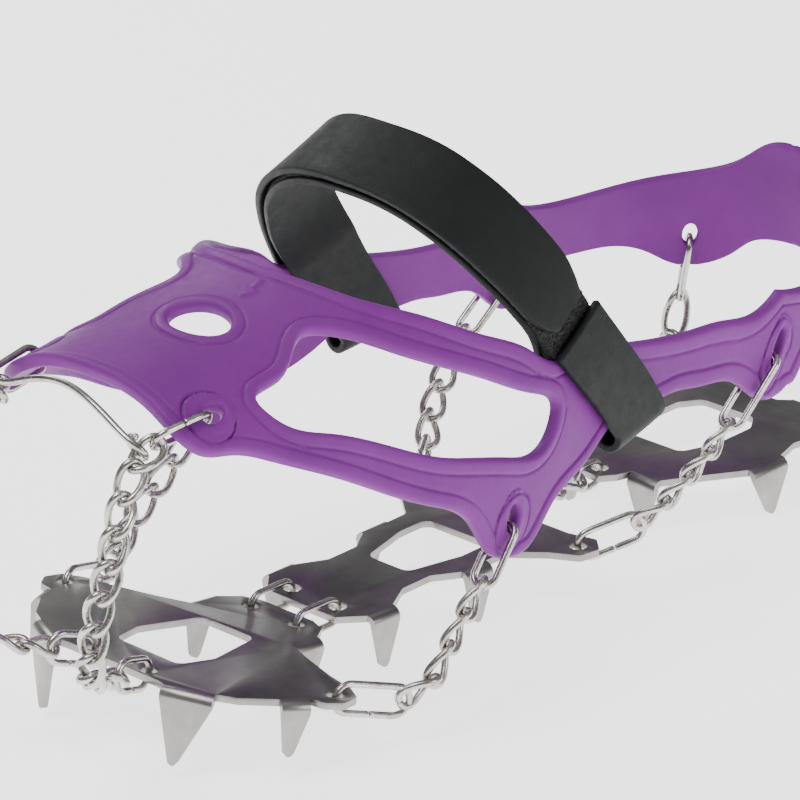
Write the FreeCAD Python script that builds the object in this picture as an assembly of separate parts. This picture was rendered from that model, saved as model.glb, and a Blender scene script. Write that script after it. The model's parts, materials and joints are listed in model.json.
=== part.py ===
"""A chain crampon for one hiking boot, in the shape it has when worn, without the boot.

Millimetres, +Z up, toe towards -Y, the wearer's outer side at +X.  A place on the boot is given as
(ahead, side, up): ahead of the heel's back, out from the middle line, up from the tooth tips.
"""
import FreeCAD, Part
import math
import os

Vector = FreeCAD.Vector

# ---- driving dimensions -------------------------------------------------------------------------
MIDDLE = 144.9            # ahead of the heel's back, where the frame's origin lies
FEATHER = 40.0            # height of the boot's feather line, where its upper starts
HEEL_START = 62.0         # where the heel starts to round off
HEEL_BACK = 3.0           # the boot's back at band height
SHEET = 3.2               # thickness of the moulded harness
HOLE = 2.7                # radius of a lug's hole
CHAIN_WIRE = 1.9          # wire of a chain link
LINK_LENGTH = 8.6         # inside length of a chain link
LINK_WIDTH = 3.4          # inside width of a chain link
SLACK = 0.4               # free way between the wires of two links
HOOK_WIRE = 1.8           # wire of the lug hooks, end rings and toe bail
HOOK_WIDTH = 4.8          # inside width of a lug hook
RING_WIDTH = 5.8          # inside width of the ring at a chain's plate end
RING_SPAN = 9.4           # wire middle to wire middle of the arch chain's rings
EYE_RADIUS = 2.9          # middle radius of the bail's eyes
PLATE = 1.8               # thickness of the toothed plates
BEND = 2.6                # outside radius where a tooth is bent down
STRAP = 2.0               # thickness of one ply of the instep strap
SIDES = {"near": 1, "far": -1}

# plates: height of the top face, and the front plate's toe spring
MIDDLE_PLATE_TOP = 14.5
HEEL_PLATE_TOP = 14.0
TOE_SPRING = 7.7          # degrees
SPRING_AT = (229.0, 18.5)  # ahead and up of the line about which the front plate tilts up

# lug holes, (ahead, arc) on the boot form and (ahead, up) on the heel band
FRONT_LUG = (250.0, 29.3)
MIDDLE_LUG = (173.5, 98.6)
HEEL_LUG = (66.0, 54.5)
REAR_LUG = (14.0, 51.0)

# plate holes, as (ahead, side)
FRONT_HOLE = (254.5, 9.5)
SIDE_HOLE = (229.0, 47.5)
FRONT_RING_HOLE = (202.5, 8.0)
MIDDLE_RING_HOLE = (188.0, 8.0)
ARCH_HOLE = (122.0, 29.0)
ARCH_MIDDLE = (122.0, 0.0)
HEEL_FRONT_HOLE = (81.5, 0.0)
HEEL_REAR_HOLE = (21.0, 27.5)
REAR_RING_FOOT = (21.0, 30.9, 9.4)  # the rear rings go round the plate's edge: (ahead, side, up)

# the bail's way over the toe cap, from its near side to the crest
BAIL_CROWN = [(270.8, 18.5, 94.8), (269.8, 9.5, 98.0), (268.8, 0.0, 99.2)]


def at(ahead, side, up):
    return Vector(side, MIDDLE - ahead, up)


# ---- the boot form that the harness lies on ------------------------------------------------------
def half_width(ahead):
    """Half the boot's width at its feather line: broad forefoot, waist, round heel."""
    back = 190.0 - ahead
    if back < 50.0:
        return 51.9 - 0.00175 * back ** 2
    rest = min(back - 50.0, 44.0)
    waist = 47.5 - 0.14 * rest + 0.0016 * rest ** 2
    if ahead > HEEL_START:
        return waist
    share = min((HEEL_START - ahead) / (HEEL_START - HEEL_BACK), 1.0)
    return waist * (1.0 - share ** 2.2) ** (1 / 2.2)


def crest(ahead):
    back = 258.0 - ahead
    return 97.6 + 0.03 * back + 0.0026 * back * back


def form_power(ahead):
    """Exponent of the form's cross-section, a superellipse: squarer towards the toe."""
    return 2.0 + 0.6 * (ahead - 140.0) / 118.0


def form_side(ahead, up):
    """How far out the form is at a height."""
    power = form_power(ahead)
    rise = (up - FEATHER) / (crest(ahead) - FEATHER)
    return half_width(ahead) * (1.0 - max(rise, 0.0) ** power) ** (1.0 / power)


SECTIONS = {}


def section(ahead):
    """Half a cross-section of the form, from crest to feather line, as (arc, side, up) steps."""
    if ahead not in SECTIONS:
        power = 2.0 / form_power(ahead)
        steps = []
        arc = 0.0
        for step in range(241):
            angle = math.pi / 2 * step / 240
            side = half_width(ahead) * math.sin(angle) ** power
            up = FEATHER + (crest(ahead) - FEATHER) * max(math.cos(angle), 0.0) ** power
            if steps:
                arc += math.hypot(side - steps[-1][1], up - steps[-1][2])
            steps.append((arc, side, up))
        SECTIONS[ahead] = steps
    return SECTIONS[ahead]


def form(ahead, arc):
    """The point of the form at an arc length down from the crest, negative to the far side."""
    hand = -1 if arc < 0 else 1
    reach = abs(arc)
    steps = section(ahead)
    if reach >= steps[-1][0]:
        return at(ahead, hand * steps[-1][1], FEATHER - (reach - steps[-1][0]))
    low, high = 0, len(steps) - 1
    while high - low > 1:
        half = (low + high) // 2
        if steps[half][0] <= reach:
            low = half
        else:
            high = half
    share = (reach - steps[low][0]) / (steps[high][0] - steps[low][0])
    side = steps[low][1] + share * (steps[high][1] - steps[low][1])
    up = steps[low][2] + share * (steps[high][2] - steps[low][2])
    return at(ahead, hand * side, up)


def form_normal(ahead, arc):
    along = form(ahead - 1.0, arc) - form(ahead + 1.0, arc)
    down = form(ahead, arc + 1.0) - form(ahead, arc - 1.0)
    normal = along.cross(down) * -1
    return normal.normalize()


def off_form(ahead, arc, lift):
    return form(ahead, arc) + form_normal(ahead, arc) * lift


# ---- solids from wire and sheet -------------------------------------------------------------------
def ring(inner_length, inner_width, wire):
    """A closed wire loop round the origin, long way along X, lying in the XY plane."""
    bend = (inner_width + wire) / 2
    straight = (inner_length + wire) / 2 - bend
    corners = [Vector(0, bend, 0), Vector(straight, bend, 0), Vector(straight, -bend, 0),
               Vector(-straight, -bend, 0), Vector(-straight, bend, 0)]
    path = Part.Wire([
        Part.LineSegment(corners[0], corners[1]).toShape(),
        Part.Arc(corners[1], Vector(straight + bend, 0, 0), corners[2]).toShape(),
        Part.LineSegment(corners[2], corners[3]).toShape(),
        Part.Arc(corners[3], Vector(-straight - bend, 0, 0), corners[4]).toShape(),
        Part.LineSegment(corners[4], corners[0]).toShape()])
    profile = Part.Wire(Part.Circle(corners[0], Vector(1, 0, 0), wire / 2).toShape())
    return path.makePipeShell([profile], True, True)


def placed(shape, centre, along, facing):
    """A copy of a shape with its X axis along one way and its Z axis as near facing as it can be."""
    copy = shape.copy()
    aim = Vector(along).normalize()
    across = Vector(facing).cross(aim).normalize()
    copy.Placement = FreeCAD.Placement(centre, FreeCAD.Rotation(aim, across, Vector(), "XYZ"))
    return copy


def span(first, last, wire, width, facing):
    """A wire ring whose two end wires have their centres on the two points."""
    gap = last - first
    loop = ring(gap.Length - wire, width, wire)
    return placed(loop, (first + last) / 2, gap, facing)


def links(points, core, ends_flat):
    """Chain links along a curve, each a quarter turn from the last one, the first one flat.

    The last one is flat as well when their number is odd.
    """
    curve = Part.BSplineCurve()
    curve.interpolate(points)
    line = curve.toShape()
    odd = 1 if ends_flat else 0
    count = 2 * round((line.Length / LINK_LENGTH - odd) / 2) + odd
    stops = line.discretize(Number=count + 1)
    link = ring(line.Length / count + SLACK, LINK_WIDTH, CHAIN_WIRE)
    run = []
    for number in range(count):
        along = stops[number + 1] - stops[number]
        centre = (stops[number + 1] + stops[number]) / 2
        outward = centre - core
        facing = outward if number % 2 == 0 else along.cross(outward)
        run.append(placed(link, centre, along, facing))
    return run


def thread(points, wire):
    """A round wire along a smooth curve."""
    curve = Part.BSplineCurve()
    curve.interpolate(points)
    line = curve.toShape()
    start = curve.tangent(curve.FirstParameter)[0]
    profile = Part.Wire(Part.Circle(points[0], start, wire / 2).toShape())
    return Part.Wire(line).makePipeShell([profile], True, True)


def flat_faces(corners):
    """Triangles over a ring of corners that need not lie in one plane."""
    first = corners[0]
    return [Part.Face(Part.makePolygon([first, corners[n], corners[n + 1], first]))
            for n in range(1, len(corners) - 1)]


def ribbon(ribs):
    """A solid strip through a row of four-cornered sections."""
    faces = flat_faces(ribs[0][::-1]) + flat_faces(ribs[-1])
    for here, there in zip(ribs, ribs[1:]):
        for corner in range(4):
            after = (corner + 1) % 4
            faces += flat_faces([here[corner], here[after], there[after], there[corner]])
    shell = Part.makeShell(faces)
    shell.sewShape(0.001)
    solid = Part.Solid(shell)
    return solid if solid.Volume > 0 else solid.reversed()


# ---- moulded saddle over the forefoot -------------------------------------------------------------
# outlines of the near half as (ahead, arc), mirrored for the far half
SADDLE_FRONT = [(260.5, 20.0), (260.0, 30.0), (256.5, 36.0), (249.0, 39.3), (240.0, 45.3),
                (225.5, 56.5), (201.5, 76.5), (188.5, 88.0), (185.0, 94.5), (181.0, 102.0),
                (174.0, 107.5), (167.0, 109.0), (162.5, 107.0), (157.5, 104.5), (145.0, 104.8)]
SADDLE_END = [(124.0, 106.4), (138.0, 77.5)]
SADDLE_INSTEP = [(149.0, 74.0), (158.5, 64.2), (171.0, 52.5), (185.5, 38.0), (196.8, 25.0),
                 (202.0, 12.5)]
WINDOW = [(209.0, 27.2), (196.0, 41.3), (174.5, 61.2), (158.0, 76.2), (152.2, 84.0), (156.0, 88.0),
          (172.0, 82.8), (196.5, 67.2), (223.5, 46.8), (235.0, 36.8), (236.0, 31.2), (228.0, 30.3),
          (220.5, 27.6), (213.5, 24.5)]
OVAL_CENTRE = (227.5, 3.5)
OVAL_HALF = (6.0, 8.8)


def saddle_surface(lift):
    rows = []
    for row in range(20):
        ahead = 116.0 + 8.0 * row
        rows.append([off_form(ahead, 5.0 * column, lift) for column in range(-24, 25)])
    surface = Part.BSplineSurface()
    surface.interpolate(rows)
    return surface


def on_surface(surface, lift, outline, closed):
    """An edge that lies in a surface and follows (ahead, arc) points."""
    flat = [surface.parameter(off_form(ahead, arc, lift)) for ahead, arc in outline]
    curve = Part.Geom2d.BSplineCurve2d()
    curve.interpolate([FreeCAD.Base.Vector2d(*uv) for uv in flat], closed)
    return curve.toShape(surface)


def other_side(outline):
    return [(ahead, -arc) for ahead, arc in reversed(outline)]


def ellipse(centre, half):
    return [(centre[0] + half[0] * math.cos(math.radians(turn)),
             centre[1] + half[1] * math.sin(math.radians(turn))) for turn in range(0, 360, 30)]


def saddle_loops():
    """The saddle's outlines: the outer one as a chain of open curves, then the closed holes."""
    front = other_side(SADDLE_FRONT) + SADDLE_FRONT
    instep = SADDLE_INSTEP + other_side(SADDLE_INSTEP)
    outer = [front,
             [SADDLE_FRONT[-1], SADDLE_END[0]],
             SADDLE_END,
             [SADDLE_END[1]] + instep + [(SADDLE_END[1][0], -SADDLE_END[1][1])],
             other_side(SADDLE_END),
             [(SADDLE_END[0][0], -SADDLE_END[0][1]), (SADDLE_FRONT[-1][0], -SADDLE_FRONT[-1][1])]]
    holes = [ellipse(OVAL_CENTRE, OVAL_HALF), WINDOW, other_side(WINDOW)]
    for lug in (FRONT_LUG, MIDDLE_LUG):
        for hand in SIDES.values():
            holes.append(ellipse((lug[0], lug[1] * hand), (HOLE, HOLE)))
    return outer, holes


def saddle():
    """Two skins a sheet's thickness apart, closed by ruled walls along every outline."""
    outer, holes = saddle_loops()
    skins = []
    walls = []
    edges = []
    for lift in (0.0, SHEET):
        surface = saddle_surface(lift)
        rim = [on_surface(surface, lift, outline, False) for outline in outer]
        round_holes = [on_surface(surface, lift, outline, True) for outline in holes]
        wires = [Part.Wire(rim)] + [Part.Wire(edge) for edge in round_holes]
        face = Part.Face(surface, wires[0])
        for wire in wires[1:]:
            face = face.cut(Part.Face(surface, wire)).Faces[0]
        skins.append(face)
        edges.append(rim + round_holes)
    for inner, outside in zip(*edges):
        walls.append(Part.makeRuledSurface(inner, outside))
    shell = Part.makeShell(skins + walls)
    shell.sewShape(0.05)
    return Part.Solid(shell)


# ---- band round the heel --------------------------------------------------------------------------
# the near half of the band, as (ahead, low edge, high edge); its two parts meet behind the waist
SIDE_BAND = [(137.0, 57.0, 79.0), (128.0, 56.5, 77.0), (117.0, 57.0, 73.5), (106.0, 56.5, 71.2),
             (96.0, 54.8, 69.8), (84.0, 52.6, 68.6)]
HEEL_BAND = [(83.7, 52.5, 68.6), (79.0, 49.5, 68.4), (74.0, 45.0, 68.2), (67.0, 42.8, 68.0),
             (60.0, 44.4, 67.8), (54.0, 50.0, 67.6), (44.0, 51.5, 67.6), (33.0, 51.0, 68.0),
             (23.0, 47.5, 69.0), (17.0, 43.4, 69.8), (11.0, 43.4, 71.0), (7.0, 47.0, 73.5),
             (5.0, 51.0, 77.0), (3.7, 52.5, 80.5), (3.2, 53.0, 82.0), (3.0, 53.0, 82.0)]


def band_way_out(ahead, hand):
    """The level direction square to the band, seen in plan."""
    if ahead <= HEEL_BACK:
        return at(-1, 0, 0) - at(0, 0, 0)
    step = min(1.0, ahead - HEEL_BACK)
    plan = (at(ahead - step, half_width(ahead - step) * hand, 0)
            - at(ahead + step, half_width(ahead + step) * hand, 0))
    return plan.cross(Vector(0, 0, 1)).normalize() * hand


def band_point(ahead, up, lift, hand):
    """A point of the band, lifted off the boot form."""
    return at(ahead, form_side(ahead, up) * hand, up) + band_way_out(ahead, hand) * lift


def band_strip(rows, hand):
    return [[band_point(ahead, up, lift, hand)
             for up, lift in ((low, 0.0), (high, 0.0), (high, SHEET), (low, SHEET))]
            for ahead, low, high in rows]


def band_hole(lug, hand):
    """The middle of a lug's hole in the heel band, and the way out from there."""
    return band_point(lug[0], lug[1], SHEET / 2, hand), band_way_out(lug[0], hand)


def heel_band():
    solid = ribbon(band_strip(HEEL_BAND, 1) + band_strip(HEEL_BAND, -1)[-2::-1])
    for hand in SIDES.values():
        for lug in (HEEL_LUG, REAR_LUG):
            centre, outward = band_hole(lug, hand)
            solid = solid.cut(Part.makeCylinder(HOLE, 12, centre - outward * 6, outward))
    return solid


# ---- instep strap -----------------------------------------------------------------------------------
# its two edges from the crest down to the turn round the near band: (ahead, arc) front, then rear
STRAP_LINE = [(174.5, 0.0, 155.5, 0.0), (172.3, 20.0, 152.6, 18.5), (167.0, 38.0, 147.8, 34.5),
              (160.0, 54.0, 142.0, 50.0), (153.8, 67.0, 135.6, 64.5), (149.2, 76.5, 130.0, 77.0),
              (143.4, 87.0, 123.6, 90.5), (137.8, 96.5, 117.8, 102.5), (131.8, 107.5, 112.2, 115.5)]
TURN = len(STRAP_LINE) - 1  # station at which the strap turns back round the band
# lifts of a ply's middle off the boot form
UNDER_BAND = -1.9
ON_INSTEP = 1.8
OVER_BAND = 4.9
PAD = 0.8                 # thickness of the fuzzy layer on the inner ply
PEEL_STATION = -4.4       # where the free end starts to peel
TIP_STATION = 4.15        # where the free end stops, on the near side


def strap_edges(station):
    """The strap's front and rear edge at a station, counted from the crest, negative far side."""
    place = min(abs(station), TURN - 1e-6)
    first = int(place)
    share = place - first
    row = [a + share * (b - a) for a, b in zip(STRAP_LINE[first], STRAP_LINE[first + 1])]
    hand = -1 if station < 0 else 1
    return [(row[0], row[1] * hand), (row[2], row[3] * hand)]


def strap_rib(station, lift, thick=STRAP, turn=0.0, reach=0.0, narrow=1.0):
    """Four corners of a ply: its middle lies lift off the form and reach past its station."""
    hand = -1 if station < 0 else 1
    edges = strap_edges(station)
    middle = [(edges[0][n] + edges[1][n]) / 2 for n in (0, 1)]
    corners = []
    for edge, side in ((0, -1), (1, -1), (1, 1), (0, 1)):
        ahead = middle[0] + (edges[edge][0] - middle[0]) * narrow
        arc = middle[1] + (edges[edge][1] - middle[1]) * narrow
        out = side * thick / 2
        arc += hand * (reach + out * math.sin(turn))
        corners.append(off_form(ahead, arc, lift + out * math.cos(turn)))
    return corners


def strap_turn(hand):
    """Ribs round the band's lower edge, from under the band to over it."""
    middle = (OVER_BAND + UNDER_BAND) / 2
    radius = (OVER_BAND - UNDER_BAND) / 2
    angles = [math.pi * step / 8 for step in range(9)]
    return [strap_rib(hand * TURN, middle - radius * math.cos(angle), STRAP, -angle,
                      radius * math.sin(angle)) for angle in angles]


def over_ply(stations, lifts):
    """Ribs of a ply that has come back over the band, so its faces have changed places."""
    return [strap_rib(station, lift, STRAP, math.pi) for station, lift in zip(stations, lifts)]


def instep_strap():
    """One band: over the instep, round the near band and up, round the far band and up."""
    inner = [(7.5, UNDER_BAND), (7.0, UNDER_BAND), (6.5, UNDER_BAND), (6.0, UNDER_BAND),
             (5.5, UNDER_BAND), (5.0, UNDER_BAND), (4.6, -1.8), (4.2, -0.4)]
    inner += [(3.8, 1.2), (3.3, ON_INSTEP), (2.0, ON_INSTEP), (1.0, ON_INSTEP)]
    far_over = [PEEL_STATION, -5, -5.5, -6, -6.5, -7, -7.5]
    ribs = over_ply(far_over, [OVER_BAND] * len(far_over))
    ribs += strap_turn(-1)[::-1]
    ribs += [strap_rib(-station, lift) for station, lift in inner]
    ribs += [strap_rib(0.0, ON_INSTEP)]
    ribs += [strap_rib(station, lift) for station, lift in inner[::-1]]
    ribs += strap_turn(1)
    ribs += over_ply([7.5, 7, 6.5, 6, 5.4, 4.8], [OVER_BAND] * 4 + [4.8, 4.4])
    return ribbon(ribs)


def fuzzy_pad():
    lift = ON_INSTEP + (STRAP + PAD) / 2
    stations = [-4, -3, -2, -1, 0, 1, 2, 3, 4]
    ribs = [strap_rib(station, lift, PAD, 0.0, 0.0, 0.9) for station in stations]
    ribs += [strap_rib(4.3, lift - ON_INSTEP + 0.8, PAD, 0.0, 0.0, 0.9)]
    return ribbon(ribs)


def strap_end():
    """The free end that closes the strap: it lies over the fuzzy pad and peels off it."""
    lift = ON_INSTEP + STRAP + PAD + 0.5
    ribs = [strap_rib(PEEL_STATION + 0.04, OVER_BAND, STRAP)]
    ribs += [strap_rib(station, lift, STRAP) for station in (-4, -3, -2, -1, 0, 1, 2, 3, 3.9)]
    ribs += [strap_rib(TIP_STATION - 0.07, lift, STRAP, 0.0, 0.0, 0.86),
             strap_rib(TIP_STATION, lift, STRAP, 0.0, 0.0, 0.6)]
    return ribbon(ribs)


def show(shape, name):
    shape.exportStep(os.path.join("parts", name + ".step"))
    box = shape.BoundBox
    print("%-22s valid %s  volume %.0f  z %.1f..%.1f" % (name, shape.isValid(), shape.Volume,
                                                         box.ZMin, box.ZMax))


# ---- toothed plates ----------------------------------------------------------------------------------
def plate_blank(half, windows, holes):
    """A flat plate with its top at height 0: half outline and windows as (ahead, side)."""
    outline = half + [(ahead, -side) for ahead, side in half[::-1] if side > 0]
    face = Part.Face(Part.makePolygon([at(*point, 0) for point in outline + outline[:1]]))
    face = face.makeOffset2D(-1.5).makeOffset2D(3.0).makeOffset2D(-1.5)
    blank = face.extrude(Vector(0, 0, -PLATE))
    for corners in windows:
        window = Part.Face(Part.makePolygon([at(*point, 0) for point in corners + corners[:1]]))
        window = window.makeOffset2D(-3.0).makeOffset2D(3.0)
        blank = blank.cut(window.extrude(Vector(0, 0, -PLATE)))
    for ahead, side in holes:
        blank = blank.cut(Part.makeCylinder(2.4, 3 * PLATE, at(ahead, side, -2 * PLATE)))
    return blank


def tooth(start, end, tip, depth):
    """A tooth bent down along a root line, from start to end, its tip a share of the way along."""
    root = at(*start, 0)
    along = at(*end, 0) - root
    width = along.Length
    along.normalize()
    down = Vector(0, 0, -1)
    outward = down.cross(along)
    inside = BEND - PLATE

    def place(run, out, drop):
        return root + along * run + outward * out + down * drop

    lean = math.sqrt(0.5)
    bend = Part.Wire([
        Part.Arc(place(0, 0, 0), place(0, BEND * lean, BEND * (1 - lean)),
                 place(0, BEND, BEND)).toShape(),
        Part.LineSegment(place(0, BEND, BEND), place(0, inside, BEND)).toShape(),
        Part.Arc(place(0, inside, BEND), place(0, inside * lean, BEND - inside * lean),
                 place(0, 0, PLATE)).toShape(),
        Part.LineSegment(place(0, 0, PLATE), place(0, 0, 0)).toShape()])
    blade = [place(0, BEND, BEND), place(width, BEND, BEND),
             place(width * 0.97, BEND, BEND + 1.2), place(width * tip + 1.6, BEND, depth - 0.9),
             place(width * tip + 0.8, BEND, depth), place(width * tip - 0.2, BEND, depth),
             place(width * tip - 0.9, BEND, depth - 0.8)]
    blade_face = Part.Face(Part.makePolygon(blade + blade[:1]))
    return [Part.Face(bend).extrude(along * width), blade_face.extrude(outward * -PLATE)]


def toothed(blank, teeth):
    """A plate with its teeth, both hands; teeth are (start, end, tip share, depth)."""
    plate = blank
    for start, end, tip, depth in teeth:
        for piece in tooth(start, end, tip, depth):
            plate = plate.fuse(piece)
            plate = plate.fuse(piece.mirror(Vector(0, 0, 0), Vector(1, 0, 0)))
    return plate.removeSplitter()


def front_plate():
    half = [(257.6, 0.0), (257.6, 15.5), (258.0, 18.2), (252.6, 30.8), (250.0, 35.5),
            (242.3, 42.0), (235.8, 45.2), (235.0, 50.0), (231.0, 53.0), (226.0, 52.0),
            (223.0, 47.0), (221.0, 38.0), (217.0, 26.0), (213.5, 17.4), (204.5, 17.4),
            (199.5, 14.0), (197.5, 9.0), (197.5, 0.0)]
    window = [(246.0, 11.0), (246.0, -11.0), (236.0, -13.5), (218.0, -9.0), (218.0, 9.0),
              (236.0, 13.5)]
    holes = [(ahead, side * hand) for ahead, side in (FRONT_HOLE, SIDE_HOLE, FRONT_RING_HOLE)
             for hand in SIDES.values()]
    teeth = [((258.0, 18.2), (252.6, 30.8), 0.30, 19.4),
             ((242.3, 42.0), (235.8, 45.2), 0.28, 14.0),
             ((213.5, 17.4), (204.5, 17.4), 0.35, 15.6)]
    return sprung(toothed(plate_blank(half, [window], holes), teeth))


def sprung(shape):
    """Lifts the toe end of what lies flat at height 0 to the front plate's slope."""
    ahead, up = SPRING_AT
    tilted = shape.copy()
    tilted.rotate(at(ahead, 0, 0), Vector(1, 0, 0), -TOE_SPRING)
    tilted.translate(Vector(0, 0, up))
    return tilted


def middle_plate():
    half = [(193.0, 0.0), (193.0, 12.0), (187.0, 17.4), (178.0, 17.4), (170.0, 13.0),
            (160.0, 13.0), (153.0, 17.4), (144.0, 17.4), (137.0, 17.5), (130.0, 26.0),
            (126.0, 33.5), (120.0, 34.5), (116.0, 30.0), (118.0, 22.0), (118.0, 6.0),
            (116.5, 0.0)]
    window = [(162.0, 7.0), (162.0, -7.0), (146.0, -11.0), (136.0, -11.0), (136.0, 11.0),
              (146.0, 11.0)]
    holes = [ARCH_MIDDLE]
    holes += [(ahead, side * hand) for ahead, side in (MIDDLE_RING_HOLE, ARCH_HOLE)
              for hand in SIDES.values()]
    teeth = [((187.0, 17.4), (178.0, 17.4), 0.35, MIDDLE_PLATE_TOP),
             ((153.0, 17.4), (144.0, 17.4), 0.35, MIDDLE_PLATE_TOP)]
    plate = toothed(plate_blank(half, [window], holes), teeth)
    plate.translate(Vector(0, 0, MIDDLE_PLATE_TOP))
    return plate


def heel_plate():
    half = [(86.0, 0.0), (86.0, 3.5), (82.0, 6.5), (77.4, 8.0), (77.4, 17.5), (70.0, 22.0),
            (60.0, 28.5), (57.0, 30.4), (44.0, 30.4), (36.0, 28.0), (29.0, 29.0), (26.0, 32.5),
            (20.0, 33.0), (16.0, 29.0), (16.0, 24.0), (14.6, 20.0), (14.6, 9.0), (17.0, 6.0),
            (17.0, 0.0)]
    window = [(60.0, 9.0), (60.0, -9.0), (50.0, -13.0), (36.0, -13.0), (30.0, -9.0),
              (30.0, 9.0), (36.0, 13.0), (50.0, 13.0)]
    holes = [HEEL_FRONT_HOLE]
    holes += [(HEEL_REAR_HOLE[0], HEEL_REAR_HOLE[1] * hand) for hand in SIDES.values()]
    teeth = [((77.4, 8.0), (77.4, 17.5), 0.5, HEEL_PLATE_TOP),
             ((57.0, 30.4), (44.0, 30.4), 0.5, HEEL_PLATE_TOP),
             ((14.6, 20.0), (14.6, 9.0), 0.5, HEEL_PLATE_TOP)]
    plate = toothed(plate_blank(half, [window], holes), teeth)
    plate.translate(Vector(0, 0, HEEL_PLATE_TOP))
    return plate


def hole_middle(hole, hand, top):
    return at(hole[0], hole[1] * hand, top - PLATE / 2)


def sprung_hole(hole, hand):
    ahead, up = SPRING_AT
    slope = math.radians(TOE_SPRING)
    run = hole[0] - ahead
    return at(ahead + run * math.cos(slope), hole[1] * hand, up + run * math.sin(slope) - PLATE / 2)


# ---- chains ----------------------------------------------------------------------------------------------
CORE_FRONT = at(235.0, 0.0, 52.0)


def nested(end, ring_way, chain_way):
    """Where a chain's curve ends, so that its end link hangs inside the end of a ring."""
    nest = (CHAIN_WIRE + SLACK) / 2
    return end + (ring_way - end).normalize() * 2 * nest + (chain_way - end).normalize() * nest


def chain(hole, way_out, foot, ways, head, plate_hole, core, ends_flat=False, wide=None):
    """A lug hook, chain links and an end ring, from a lug's hole to a plate's hole.

    The end ring is broad in the wide direction, upright unless it is given.
    """
    gap = foot - hole
    hook = span(hole, foot, HOOK_WIRE, HOOK_WIDTH, gap.cross(way_out))
    stops = [foot] + ways + [head]
    first = nested(foot, hole, stops[1])
    last = nested(head, plate_hole, stops[-2])
    run = links([first] + ways + [last], core, ends_flat)
    drop = plate_hole - head
    end_ring = span(head, plate_hole, HOOK_WIRE, RING_WIDTH, drop.cross(wide or Vector(0, 0, 1)))
    return hook, run, end_ring


def side_chains(hand):
    """The four chains of one side, by name."""
    def way(*points):
        return [at(ahead, side * hand, up) for ahead, side, up in points]

    front_lug = off_form(FRONT_LUG[0], FRONT_LUG[1] * hand, SHEET / 2)
    middle_lug = off_form(MIDDLE_LUG[0], MIDDLE_LUG[1] * hand, SHEET / 2)
    heel_lug, heel_out = band_hole(HEEL_LUG, hand)
    rear_lug, rear_out = band_hole(REAR_LUG, hand)
    front = chain(front_lug, form_normal(FRONT_LUG[0], FRONT_LUG[1] * hand),
                  at(266.0, 26.9 * hand, 90.8),
                  way((271.2, 26.7, 87.1), (276.0, 27.5, 81.5), (280.3, 28.6, 73.5),
                      (283.2, 29.0, 65.5), (285.4, 27.6, 57.0), (286.8, 26.4, 48.5),
                      (287.0, 25.0, 40.5), (283.5, 21.0, 33.5), (276.5, 16.0, 29.0)),
                  at(267.0, 12.0 * hand, 25.5), sprung_hole(FRONT_HOLE, hand), CORE_FRONT,
                  True)
    middle = chain(middle_lug, form_normal(MIDDLE_LUG[0], MIDDLE_LUG[1] * hand),
                   at(185.0, 54.2 * hand, 33.5),
                   way((190.0, 54.6, 29.4), (196.3, 55.4, 23.6), (201.8, 55.6, 18.0),
                       (205.5, 55.0, 13.0)),
                   at(209.5, 53.0 * hand, 11.0), sprung_hole(SIDE_HOLE, hand),
                   at(195.0, 20.0 * hand, 40.0))
    heel = chain(heel_lug, heel_out, at(84.5, 46.4 * hand, 40.0),
                 way((90.3, 45.4, 34.6), (97.0, 43.6, 29.0), (102.5, 41.4, 23.8)),
                 at(107.0, 38.0 * hand, 18.6), hole_middle(ARCH_HOLE, hand, MIDDLE_PLATE_TOP),
                 at(95.0, 15.0 * hand, 50.0))
    ahead, side, up = REAR_RING_FOOT
    rear_foot = at(ahead, side * hand, up)
    drop = rear_foot - rear_lug
    rear = chain(rear_lug, rear_out, rear_lug + drop * 0.42, [], rear_lug + drop * 0.65,
                 rear_foot, at(45.0, 0.0, 30.0), True, Vector(1, 0, 0))
    return {"front": front, "middle": middle, "heel": heel, "rear": rear}


def arch_chain():
    """The short chain under the arch, with a ring in the middle of each plate's edge."""
    front = hole_middle(ARCH_MIDDLE, 1, MIDDLE_PLATE_TOP)
    rear = hole_middle(HEEL_FRONT_HOLE, 1, HEEL_PLATE_TOP)
    reach = (rear - front).normalize()
    head = front + reach * RING_SPAN
    foot = rear - reach * RING_SPAN
    sideways = Vector(1, 0, 0)
    rings = [span(front, head, HOOK_WIRE, HOOK_WIDTH, sideways),
             span(foot, rear, HOOK_WIRE, HOOK_WIDTH, sideways)]
    way = [nested(head, front, foot), nested(foot, rear, head)]
    return rings, links(way, (head + foot) / 2 - Vector(0, 0, 40), True)


def plate_rings():
    """Two rings that hinge the middle plate to the front plate."""
    return [span(sprung_hole(FRONT_RING_HOLE, hand),
                 hole_middle(MIDDLE_RING_HOLE, hand, MIDDLE_PLATE_TOP),
                 HOOK_WIRE, HOOK_WIDTH, Vector(1, 0, 0)) for hand in SIDES.values()]


def bail_eye(run):
    """Where the bail's eye goes round a side wire of a front chain's first link."""
    link = run[0].Placement
    across = link.Rotation.multVec(Vector(0, 1, 0))
    if across.x * link.Base.x > 0:
        across = across * -1
    return link.Base + across * EYE_RADIUS, link.Rotation.multVec(Vector(0, 0, 1)), across


def toe_bail(near_run, far_run):
    """A spring wire over the toe cap, with a closed eye at each end."""
    near_eye, near_out, near_in = bail_eye(near_run)
    far_eye, far_out, far_in = bail_eye(far_run)
    crown = [at(*point) for point in BAIL_CROWN]
    other = [at(ahead, -side, up) for ahead, side, up in BAIL_CROWN[-2::-1]]
    path = [near_eye + near_out * EYE_RADIUS] + crown + other + [far_eye + far_out * EYE_RADIUS]
    wire = thread(path, HOOK_WIRE)
    for eye, out, inward in ((near_eye, near_out, near_in), (far_eye, far_out, far_in)):
        wire = wire.fuse(Part.makeTorus(EYE_RADIUS, HOOK_WIRE / 2, eye, out.cross(inward)))
    return wire


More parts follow.
